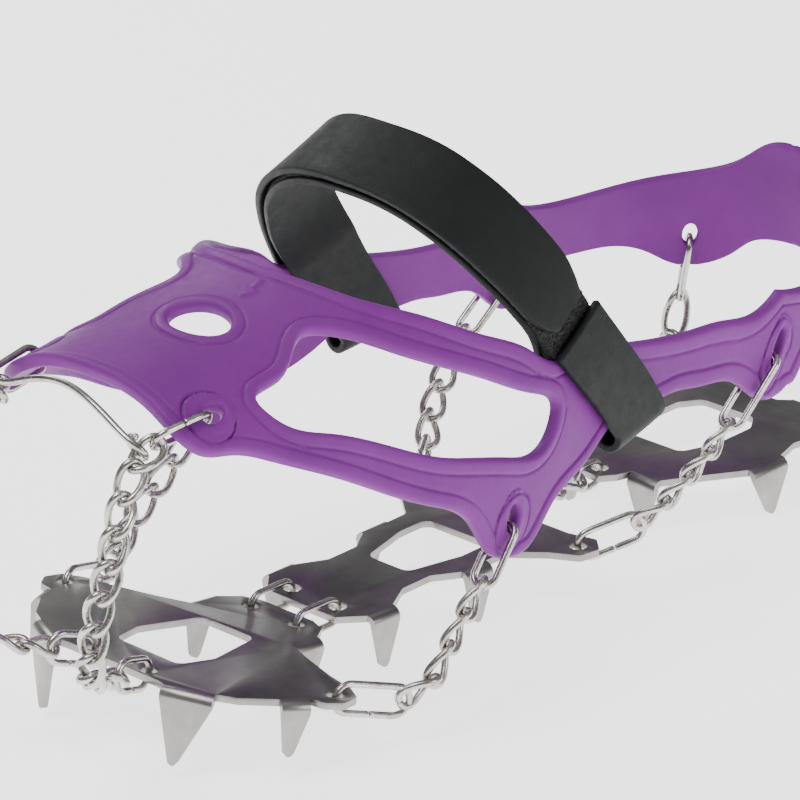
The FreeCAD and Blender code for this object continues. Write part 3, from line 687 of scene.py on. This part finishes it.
def harness_mesh_points(edges, holes, loop, starts, ends):
    """Points of the flat pattern: the outlines, and apart from them the rings and the field."""
    curves = [(edge, False) for edge in edges] + [(hole, True) for hole in holes]
    fixed = [loop] + holes
    loose = []
    for curve, closed in curves:
        along = curve[len(curve) // 2 + 1] - curve[len(curve) // 2 - 1]
        trial = curve[len(curve) // 2] + np.array([-along[1], along[0]]) / np.linalg.norm(along) * 0.2
        probe = 1 if in_sheet(trial[None], loop, holes)[0] else -1
        for distance in RINGS:
            loose.append(offset_points(curve, closed, distance, starts, ends, probe))
    turn = np.linspace(0, 2 * math.pi, 48, endpoint=False)
    for (run, arc), _ in LUGS:
        for radius in BOSS_RINGS:
            loose.append(np.stack([run + radius * np.cos(turn), arc + radius * np.sin(turn)], axis=1))
    arrow = arrow_shape()
    low, high = arrow.min(0) - 1.0, arrow.max(0) + 1.0
    fine = np.meshgrid(*(np.arange(low[k], high[k], ARROW_STEP) for k in (0, 1)))
    loose.append(np.stack(fine, axis=-1).reshape(-1, 2))
    rows = []
    end, deepest = FIELD_END
    for n, run in enumerate(np.arange(BACK_RUN + 1.0, end, FIELD_STEP * ROW_SHARE)):
        arcs = np.arange(-deepest + (n % 2) * FIELD_STEP / 2, deepest + 1.0, FIELD_STEP)
        rows.append(np.stack([np.full(len(arcs), run), arcs], axis=1))
    field = np.concatenate(rows)
    field = field[in_sheet(field, loop, holes)]
    clear = segment_distance(field, starts, ends) > EDGE_CLEAR
    clear &= lug_distance(field) > BOSS_CLEAR
    clear &= ~((field > low) & (field < high)).all(1)
    loose.append(field[clear])
    loose = np.concatenate(loose)
    loose = loose[in_sheet(loose, loop, holes)]
    off_outlines = segment_distance(loose, starts, ends) > OUTLINE_CLEAR
    off_seam = loose[:, 0] > BACK_RUN + SEAM_CLEAR
    return fixed, loose[off_outlines & off_seam]


def in_sheet(points, loop, holes):
    """Whether each point is inside the loop and outside its holes."""
    outlines = [loop] + holes
    starts = np.concatenate(outlines)
    ends = np.concatenate([np.roll(line, -1, axis=0) for line in outlines])
    return inside(points, starts, ends)


def thinned(points, cell):
    """At most one point in each small cell."""
    keys = np.round(points / cell).astype(np.int64)
    _, first = np.unique(keys[:, 0] * 1000003 + keys[:, 1], return_index=True)
    return points[np.sort(first)]


def corner_drop(edge, radius):
    """How far a rounded corner lies below its face, by the distance from the edge."""
    short = np.clip(radius - edge, 0.0, radius)
    return radius - np.sqrt(np.maximum(radius ** 2 - short ** 2, 0.0))


def harness_lifts(points, starts, ends):
    """Height of the outer and the inner skin over the form."""
    edge = segment_distance(points, starts, ends)
    boss = lug_distance(points)
    beyond = np.minimum(edge - RIM, boss - BOSS)
    top = np.full(len(points), SHEET)
    crown = np.clip(edge / RIM, 0.0, 1.0)
    top += RIM_CROWN * np.sin(math.pi * crown)
    top -= FIELD_DEPTH * smoothstep(beyond / GROOVE)
    top -= GROOVE_DEPTH * np.sin(math.pi * np.clip(beyond / GROOVE, 0.0, 1.0)) ** 2
    top -= GROOVE_DEPTH * np.clip(1 - (np.abs(boss - BOSS_RING) / (GROOVE / 2)) ** 2, 0.0, 1.0)
    arrow = arrow_shape()
    arrow_ends = np.roll(arrow, -1, axis=0)
    hand = np.where(inside(points, arrow, arrow_ends), 1, -1)
    depth = segment_distance(points, arrow, arrow_ends) * hand
    top += ARROW_HEIGHT * smoothstep((depth + 0.25) / 0.5)
    return top - corner_drop(edge, EDGE_ROUND), corner_drop(edge, INNER_ROUND)


def harness_pattern():
    """The flat sheet: its points, its triangles, and its edges as starts and ends of segments."""
    edges, holes, loop = harness_outlines()
    starts = np.concatenate([edges[0][:-1], edges[1][:-1]] + holes)
    ends = np.concatenate([edges[0][1:], edges[1][1:]] + [np.roll(hole, -1, axis=0) for hole in holes])
    fixed, loose = harness_mesh_points(edges, holes, loop, starts, ends)
    flat = np.concatenate(fixed + [thinned(loose, CELL)])
    borders = []
    first = 0
    for line in fixed:
        borders += [(first + n, first + (n + 1) % len(line)) for n in range(len(line))]
        first += len(line)
    found = delaunay_2d_cdt([Vector(tuple(p)) for p in flat], borders, [], 0, 1e-4)
    points = np.array([tuple(p) for p in found[0]])
    triangles = np.array([tuple(face) for face in found[2] if len(face) == 3])
    middles = points[triangles].mean(1)
    triangles = triangles[in_sheet(middles, loop, holes)]
    corner = points[triangles]
    turn = np.cross(corner[:, 1] - corner[:, 0], corner[:, 2] - corner[:, 0])
    triangles = np.where((turn < 0)[:, None], triangles[:, ::-1], triangles)
    return points, triangles[np.abs(turn) > 1e-7], starts, ends


def weld(body):
    """Joins points that lie together and drops those that no face uses."""
    bmesh.ops.remove_doubles(body, verts=body.verts, dist=WELD * MM)
    bmesh.ops.delete(body, geom=[v for v in body.verts if not v.link_faces], context="VERTS")


def harness(paint):
    """The whole moulding as one closed skin: saddle, side bands and heel band."""
    points, triangles, starts, ends = harness_pattern()
    top, bottom = harness_lifts(points, starts, ends)
    count = len(points)
    upper = lifted(points[:, 0], points[:, 1], top)
    lower = lifted(points[:, 0], points[:, 1], bottom)
    faces = [tuple(t) for t in triangles]
    faces += [(t[0] + count, t[2] + count, t[1] + count) for t in triangles]
    # a side that no other triangle has is an edge, and gets a wall unless it lies on the seam
    sides = dict.fromkeys(side for a, b, c in triangles for side in ((a, b), (b, c), (c, a)))
    on_seam = points[:, 0] < BACK_RUN + 0.01
    for a, b in sides:
        if (b, a) not in sides and not (on_seam[a] and on_seam[b]):
            faces.append((b, a, a + count, b + count))
    piece = make_object("harness", np.concatenate([upper, lower]), faces, paint)
    rework(piece.data, weld)
    return piece


# ---- strap ----
def strap_rows():
    """(station, front run, front arc, rear run, rear arc) from the far turn to the near one."""
    rows = [(-n,) + (row[0], -row[1], row[2], -row[3]) for n, row in enumerate(STRAP_LINE)][:0:-1]
    rows += [(n,) + row for n, row in enumerate(STRAP_LINE)]
    return rows


STRAP_ROWS = np.array(strap_rows(), float)


def strap_edge(station, column):
    """A column of the strap's edges at fractional stations, by smooth interpolation."""
    station = np.clip(station, -TURN, TURN)
    index = station + TURN
    n = np.clip(index.astype(int), 0, len(STRAP_ROWS) - 2)
    t = index - n
    values = STRAP_ROWS[:, column]
    last = len(values) - 1
    before, here = values[np.clip(n - 1, 0, last)], values[n]
    after, later = values[n + 1], values[np.clip(n + 2, 0, last)]
    return here + 0.5 * t * (after - before + t * (2 * before - 5 * here + 4 * after - later
                                                   + t * (3 * (here - after) + later - before)))


def strap_places(station, across, narrow=1.0):
    """Runs and arcs on the strap, across from its front edge (-1) to its rear edge (1)."""
    for column in (1, 2):
        front, rear = strap_edge(station, column), strap_edge(station, column + 2)
        yield (front + rear) / 2 + (rear - front) / 2 * across * narrow


def strap_points(path, across, out):
    """Points of a ply; path rows are (station, lift, turn, reach, narrow), out is in half plies."""
    station, lift, turn, reach, narrow = (path[:, k][:, None] for k in range(5))
    across, out = across[None], out[None]
    hand = np.where(station < 0, -1.0, 1.0)
    run, arc = strap_places(station, across, narrow)
    thick = out * STRAP / 2
    arc = arc + hand * (reach + thick * np.sin(turn))
    return lifted(run, arc, lift + thick * np.cos(turn))


def ply_section():
    """A ply's rounded cross-section: across from -1 to 1 of its half width, out in half plies."""
    side, rise = STRAP_ROUND / STRAP_HALF, STRAP_ROUND / (STRAP / 2)
    turns = np.linspace(0.0, math.pi / 2, 5)
    across, out = [], []
    for quarter in range(4):
        for t in turns:
            angle = t + quarter * math.pi / 2
            sign_across = 1 if quarter in (0, 3) else -1
            sign_out = 1 if quarter in (0, 1) else -1
            across.append(sign_across * (1.0 - side) + side * math.cos(angle))
            out.append(sign_out * (1.0 - rise) + rise * math.sin(angle))
        if quarter in (0, 2):
            steps = np.linspace(1.0, -1.0, 11)[1:-1] * (1 if quarter == 0 else -1)
            across += list(steps * (1.0 - side))
            out += [1.0 if quarter == 0 else -1.0] * len(steps)
    return np.array(across), np.array(out)


def ply(name, path, paint):
    """A closed strip of strap along a path."""
    across, out = ply_section()
    rings = strap_points(path, across, out)
    faces = ring_faces(*rings.shape[:2], closed=False)
    return face_outwards(make_object(name, rings.reshape(-1, 3), faces, paint))


def path_between(keys):
    """Rows between key rows: lifts ease and the rest runs evenly."""
    rows = []
    for first, last in zip(keys, keys[1:]):
        first, last = np.array(first, float), np.array(last, float)
        count = math.ceil(abs(last[0] - first[0]) / PLY_STEP)
        for n in range(count):
            share = n / count
            row = first + (last - first) * share
            row[1] = first[1] + (last[1] - first[1]) * float(smoothstep(share))
            rows.append(row)
    rows.append(np.array(keys[-1], float))
    return np.array(rows)


def turn_rows(hand, begin, end):
    """Rows round the band's lower edge, from under it (angle 0) to over it (a half turn)."""
    middle, radius = (OVER_BAND + UNDER_BAND) / 2, (OVER_BAND - UNDER_BAND) / 2
    angles = np.linspace(begin, end, int(abs(end - begin) / TURN_STEP))
    return np.array([(hand * TURN, middle - radius * math.cos(a), -a, radius * math.sin(a), 1.0)
                     for a in angles])


def inner_lift(station):
    """Height of the inner ply's middle: on the instep, then down under the band."""
    share = smoothstep((np.abs(station) - DIP[0]) / (DIP[1] - DIP[0]))
    return ON_INSTEP + (UNDER_BAND - ON_INSTEP) * share


def inner_ply(paint):
    """Under the far band, over the instep, under the near band, round it and up again."""
    stations = np.linspace(-TURN, TURN, PLY_ROWS)
    across_instep = np.stack([stations, inner_lift(stations), 0 * stations, 0 * stations,
                              0 * stations + 1], axis=1)
    back_up = path_between([
        (TURN, OVER_BAND, -math.pi, 0, 1), (6.0, OVER_BAND, -math.pi, 0, 1),
        (LOOP_END, LOOP_LIFT, -math.pi, 0, 1)])
    rows = np.concatenate([turn_rows(-1, math.pi / 2, 0)[:-1], across_instep,
                           turn_rows(1, 0, math.pi)[1:-1], back_up])
    return ply("instep_strap", rows, paint)


def free_ply(paint):
    """Up from the far band's lower edge and over the instep to the free tip."""
    start = turn_rows(-1, math.pi, math.pi / 2)[::-1]
    start[:, 2] += math.pi
    up_far = path_between([(-TURN, OVER_BAND, 0, 0, 1), (PEEL_STATION, OVER_BAND + 0.1, 0, 0, 1),
                           (-3.9, FREE_LIFT, 0, 0, 1),
                           (TIP_STATION - TIP_LENGTH - 0.05, FREE_LIFT, 0, 0, 1)])
    tip = []
    for share in np.sin(np.linspace(0.0, math.pi / 2, 18)):
        narrow = (1.0 - 0.36 * share ** 2.4) * math.sqrt(max(1.0 - (0.94 * share) ** 22, 0.0))
        tip.append((TIP_STATION - TIP_LENGTH * (1 - share), FREE_LIFT, 0, 0, narrow))
    return ply("strap_free_end", np.concatenate([start[:-1], up_far, np.array(tip)]), paint)


def fuzzy_layer(paint):
    """Loop pile on the inner ply: a thin layer with an uneven, tufted face."""
    rows, columns = PILE_GRID
    count = rows * columns
    station = np.linspace(*PILE_STATIONS, rows)[:, None]
    across = np.linspace(-PILE_HALF, PILE_HALF, columns)
    generator = np.random.default_rng(PILE_SEED)
    rough = generator.random(PILE_GRID)
    rough[0], rough[-1], rough[:, 0], rough[:, -1] = 0.0, 0.0, 0.0, 0.0
    jitter = (generator.random((2, rows, columns)) - 0.5) * PILE_JITTER
    run, arc = strap_places(station, across[None])
    run, arc = run + jitter[0], arc + jitter[1]
    lift = inner_lift(station) + STRAP / 2
    face = ON_INSTEP + STRAP / 2 - 0.5 * smoothstep((station - 4.1) / 0.5)
    least, beyond = PILE_TUFT
    upper = lifted(run, arc, np.maximum(lift, np.where(station > 0, face, lift))
                   + PAD * (least + beyond * rough))
    lower = lifted(run, arc, lift - 0.05 + 0 * rough)
    faces = []
    for n in range(rows - 1):
        for k in range(columns - 1):
            here, after = n * columns + k, (n + 1) * columns + k
            quad = (here, here + 1, after + 1, after)
            faces.append(quad)
            faces.append(tuple(corner + count for corner in quad[::-1]))
    border = list(range(columns)) + [n * columns + columns - 1 for n in range(1, rows)]
    border += [(rows - 1) * columns + k for k in range(columns - 2, -1, -1)]
    border += [n * columns for n in range(rows - 2, 0, -1)]
    for a, b in zip(border, border[1:] + border[:1]):
        faces.append((b, a, a + count, b + count))
    piece = make_object("fuzzy_layer", np.concatenate([upper.reshape(-1, 3), lower.reshape(-1, 3)]),
                        faces, paint, smooth=False)
    return face_outwards(piece)


# ---- wire and chain ----
def loose_loops(node):
    """Each closed wire of a CAD node: its middle, its long, broad and thin ways, and its size."""
    mesh = frame["nodes"][node].data
    parent = list(range(len(mesh.vertices)))

    def root(n):
        while parent[n] != n:
            parent[n] = parent[parent[n]]
            n = parent[n]
        return n

    seen = {}
    places = np.array([v.co for v in mesh.vertices])
    for n, key in enumerate(map(tuple, np.round(places, 7))):
        parent[n] = seen.setdefault(key, n)
    for edge in mesh.edges:
        a, b = root(edge.vertices[0]), root(edge.vertices[1])
        if a != b:
            parent[a] = b
    groups = {}
    for n in range(len(places)):
        groups.setdefault(root(n), []).append(n)
    loops = []
    for members in groups.values():
        some = np.unique(np.round(places[members], 6), axis=0)
        low, high = some.min(0), some.max(0)
        middle = (low + high) / 2
        for _ in range(3):
            _, _, ways = np.linalg.svd(some - middle, full_matrices=False)
            spread = (some - middle) @ ways.T
            middle = middle + ((spread.max(0) + spread.min(0)) / 2) @ ways
        loops.append((middle, ways, spread.max(0) - spread.min(0)))
    return loops


def ring_line(length, width, wire):
    """The middle line of a long ring in XY, its long way along X, open in its near straight.

    Length and width are its outer ones.
    """
    bend = (width - wire) / 2
    straight = (length - wire) / 2 - bend
    arc = np.linspace(-math.pi / 2, math.pi / 2, 15)
    along = straight * np.linspace(-1.0, 1.0, 11)[1:-1]
    half = RING_GAP / 2
    points = [(half, -bend)]
    points += [(x, -bend) for x in along if x > half]
    points += [(straight + bend * math.cos(a), bend * math.sin(a)) for a in arc]
    points += [(-x, bend) for x in along]
    points += [(-straight - bend * math.cos(a), -bend * math.sin(a)) for a in arc]
    points += [(x, -bend) for x in along if x < -half]
    points.append((-half, -bend))
    return np.array([(x, y, 0.0) for x, y in points])


def in_place(points, middle, along, across):
    """Points of a local frame as points of the row's frame."""
    normal = np.cross(along, across)
    return middle + points[:, :1] * along + points[:, 1:2] * across + points[:, 2:] * normal


def open_ring(loop, wire):
    """A ring of round wire whose ends meet in the middle of one straight."""
    middle, ways, size = loop
    line = ring_line(size[0] / MM, size[1] / MM, wire) * MM
    points = in_place(line, middle, ways[0], ways[1])
    return tube_data(points, wire / 2 * MM, False, 16, ways[2])


def chain_in_order(loops, start):
    """The links one after the other, from the one nearest to a place."""
    rest = list(loops)
    here = start
    order = []
    while rest:
        nearest = min(rest, key=lambda loop: float(np.linalg.norm(loop[0] - here)))
        rest = [loop for loop in rest if loop is not nearest]
        order.append(nearest)
        here = nearest[0]
    return order


def curb_link(length, width):
    """The middle line of an oval link with a quarter turn of twist from end to end."""
    reach = (length - CHAIN_WIRE) / 2
    breadth = (width - CHAIN_WIRE) / 2 + LINK_BULGE
    turn = np.linspace(0.0, 2 * math.pi, 48, endpoint=False)
    cosine, sine = np.cos(turn), np.sin(turn)
    x = reach * np.sign(cosine) * np.abs(cosine) ** (2 / LINK_POWER)
    y = breadth * np.sign(sine) * np.abs(sine) ** (2 / LINK_POWER)
    line = sampled(np.stack([x, y], axis=1), 0.55, closed=True)
    angle = math.pi / 4 * line[:, 0] / reach
    return np.stack([line[:, 0], line[:, 1] * np.cos(angle), line[:, 1] * np.sin(angle)], axis=1)


def curb_chain(node, start, core):
    """Twisted links that all lie flat the same way, facing out from the boot's core.

    Each link's quarter turn makes its ends cross its neighbours' ends squarely.
    """
    links_of_node = chain_in_order(loose_loops(node), start)
    parts = []
    before = start
    for middle, ways, size in links_of_node:
        along = ways[0] if ways[0].dot(middle - before) > 0 else -ways[0]
        out = middle - core
        out = out - along * along.dot(out)
        across = np.cross(out / np.linalg.norm(out), along)
        line = curb_link(size[0] / MM, size[1] / MM) * MM
        parts.append(tube_data(in_place(line, middle, along, across), CHAIN_WIRE / 2 * MM, True, 12,
                               np.cross(along, across)))
        before = middle
    return join_data(parts)


def wire_piece(node, ending, data, paint):
    """A wire piece in a CAD node's place; its name is the node's with an ending."""
    piece = make_object(node + ending, *data, paint)
    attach(piece, body_of(node))
    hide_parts(node)


def body_of(node):
    """The body that a CAD node belongs to."""
    for name, members in frame["record"]["behaviour"]["bodies"].items():
        if node in members:
            return name
    raise ValueError(node)


def rings_in_place(node, wire):
    """The rings of a CAD node as one piece."""
    data = join_data([open_ring(loop, HOOK_WIRE) for loop in loose_loops(node)])
    wire_piece(node, "_wire", data, wire)


def chain_run(place, side, core, wire, chain):
    """A hook, its chain and its end ring, each as its own piece."""
    hook, run, ring = ("%s_%s_%s" % (place, kind, side) for kind in ("hook", "chain", "ring"))
    rings_in_place(hook, wire)
    rings_in_place(ring, wire)
    wire_piece(run, "_links", curb_chain(run, loose_loops(hook)[0][0], core), chain)


def arch_run(wire, chain):
    """The short chain under the arch with its two rings, and the front and middle plate's rings."""
    rings_in_place("arch_rings", wire)
    front = min(loose_loops("arch_rings"), key=lambda loop: loop[0][1])
    wire_piece("arch_chain", "_links", curb_chain("arch_chain", front[0], at(*ARCH_CORE)), chain)
    rings_in_place("plate_rings", wire)


def at(ahead, side, up):
    """A place given as in the CAD model, in metres of the frame."""
    return np.array([side, MIDDLE - ahead, up]) * MM


def toe_bail(wire):
    """One spring wire over the toe, with an eye of nearly one turn round each front chain."""
    links = {}
    for side in SIDES:
        start = loose_loops("front_hook_" + side)[0][0]
        links[side] = chain_in_order(loose_loops("front_chain_" + side), start)[0]
    ends = {}
    for side, hand in SIDES.items():
        middle, ways, _ = links[side]
        inward = ways[1] if ways[1][0] * hand < 0 else -ways[1]
        outward = ways[2] if ways[2][2] > 0 else -ways[2]
        centre = middle + inward * EYE_RADIUS * MM
        axis = np.cross(outward, inward)
        turns = np.linspace(EYE_TURN, 0.0, 34)
        rise = np.linspace(-1.0, 1.0, len(turns)) * HOOK_WIRE * EYE_RISE * MM
        ends[side] = [centre + (outward * math.cos(t) - inward * math.sin(t)) * EYE_RADIUS * MM
                      + axis * lift for t, lift in zip(turns, rise)]
    crown = [at(*point) for point in BAIL_CROWN]
    far_crown = [at(run, -side, up) for run, side, up in BAIL_CROWN[-2::-1]]
    keys = ends["near"][::3] + crown + far_crown + ends["far"][::-1][::3]
    points = sampled(np.array(keys) / MM, BAIL_STEP) * MM
    data = tube_data(points, HOOK_WIRE / 2 * MM, False, 16)
    wire_piece("toe_bail", "_wire", data, wire)


# ---- plates ----
def merge_flat_faces(body):
    """Joins the triangles of each flat face."""
    bmesh.ops.remove_doubles(body, verts=body.verts, dist=0.002 * MM)
    bmesh.ops.dissolve_limit(body, angle_limit=math.radians(2.0), verts=body.verts, edges=body.edges)


def softened_plate(node, paint):
    """The CAD plate with its sharp edges rounded over."""
    source = frame["nodes"][node]
    mesh = source.data.copy()
    mesh.name = node + "_sheet"
    piece = bpy.data.objects.new(node + "_sheet", mesh)
    bpy.context.scene.collection.objects.link(piece)
    rework(mesh, merge_flat_faces)
    mesh.materials.clear()
    mesh.materials.append(paint)
    rounding = piece.modifiers.new("edges", "BEVEL")
    rounding.width = PLATE_ROUND * MM
    rounding.segments = 3
    rounding.limit_method = "ANGLE"
    rounding.angle_limit = math.radians(32)
    rounding.use_clamp_overlap = True
    rounding.harden_normals = True
    mesh.polygons.foreach_set("use_smooth", [True] * len(mesh.polygons))
    graph = bpy.context.evaluated_depsgraph_get()
    rounded = bpy.data.meshes.new_from_object(piece.evaluated_get(graph))
    piece.modifiers.clear()
    piece.data = rounded
    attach(piece, body_of(node))
    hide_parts(node)


# ---- stage ----
def studio():
    """A pale floor, a sky of soft grey bands and three lamps."""
    bpy.ops.mesh.primitive_plane_add(size=8.0, location=(0, 0, 0))
    floor = bpy.context.object
    floor.name = "studio_floor"
    floor.data.materials.append(floor_paint())
    world = bpy.data.worlds.new("studio")
    bpy.context.scene.world = world
    world.use_nodes = True
    nodes, joins = world.node_tree.nodes, world.node_tree.links
    place = nodes.new("ShaderNodeTexCoord")
    split = nodes.new("ShaderNodeSeparateXYZ")
    joins.new(place.outputs["Generated"], split.inputs["Vector"])
    sky = nodes.new("ShaderNodeValToRGB")
    for height, _ in SKY[2:]:
        sky.color_ramp.elements.new(height)
    for element, (height, shade) in zip(sky.color_ramp.elements, SKY):
        element.position = height
        element.color = (shade * 0.97, shade * 0.985, shade, 1.0)
    joins.new(split.outputs["Z"], sky.inputs["Fac"])
    joins.new(sky.outputs["Color"], nodes["Background"].inputs["Color"])
    nodes["Background"].inputs["Strength"].default_value = 0.95
    for name, (place, size, power) in LAMPS.items():
        lamp(name, place, size, power)


def lamp(name, place, size, power):
    """A square lamp aimed at the crampon."""
    data = bpy.data.lights.new(name, "AREA")
    data.size = size
    data.energy = power
    light = bpy.data.objects.new(name, data)
    light.location = place
    aim = Vector(LAMP_TARGET) - Vector(place)
    light.rotation_euler = aim.to_track_quat("-Z", "Y").to_euler()
    bpy.context.scene.collection.objects.link(light)


def camera():
    """A long lens from the toe's near side, a little above."""
    azimuth, elevation = (math.radians(angle) for angle in VIEW_FROM)
    back = Vector((math.sin(azimuth) * math.cos(elevation), -math.cos(azimuth) * math.cos(elevation),
                   math.sin(elevation)))
    target = Vector(VIEW_TARGET) * MM
    data = bpy.data.cameras.new("camera")
    data.lens = VIEW_LENS
    data.sensor_width = 36.0
    data.shift_x, data.shift_y = VIEW_SHIFT
    data.clip_end = 20.0
    eye = bpy.data.objects.new("camera", data)
    turn = (-back).to_track_quat("-Z", "Y").to_matrix() @ Matrix.Rotation(math.radians(VIEW_ROLL), 3, "Z")
    eye.matrix_world = Matrix.Translation(target + back * VIEW_DISTANCE) @ turn.to_4x4()
    bpy.context.scene.collection.objects.link(eye)
    bpy.context.scene.camera = eye


# ---- the scene ----
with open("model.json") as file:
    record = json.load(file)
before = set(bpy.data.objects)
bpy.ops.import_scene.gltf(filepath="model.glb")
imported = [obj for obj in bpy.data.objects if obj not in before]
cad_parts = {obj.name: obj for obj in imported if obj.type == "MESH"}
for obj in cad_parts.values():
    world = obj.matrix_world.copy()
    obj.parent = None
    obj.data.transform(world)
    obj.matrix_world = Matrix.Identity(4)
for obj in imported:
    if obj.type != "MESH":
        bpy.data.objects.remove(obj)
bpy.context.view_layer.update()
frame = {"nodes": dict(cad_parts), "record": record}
camera()
studio()

violet = harness_paint()
moulding = harness(violet)
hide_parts("saddle", "side_band_near", "side_band_far", "heel_band")
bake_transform(moulding)

charcoal = strap_paint()
inner = inner_ply(charcoal)
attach(inner, "strap")
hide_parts("instep_strap")
free = free_ply(charcoal)
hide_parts("strap_end")
peel = strap_points(np.array([(PEEL_STATION + reach, OVER_BAND, 0, 0, 1) for reach in PEEL_BLEND]),
                    np.zeros(1), np.zeros(1))
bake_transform(free)
pile = fuzzy_layer(fuzzy_paint())
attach(pile, "strap")
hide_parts("fuzzy_pad")

steel = steel_paint()
for plate in ("front_plate", "middle_plate", "heel_plate"):
    softened_plate(plate, steel)

bright = wire_paint("drawn_wire", 0.14, 0.30)
links = wire_paint("chain_wire", 0.18, 0.36)
for side_name, hand in SIDES.items():
    for place, core in CHAIN_CORES.items():
        chain_run(place, side_name, at(core[0], core[1] * hand, core[2]), bright, links)
arch_run(bright, links)
toe_bail(bright)
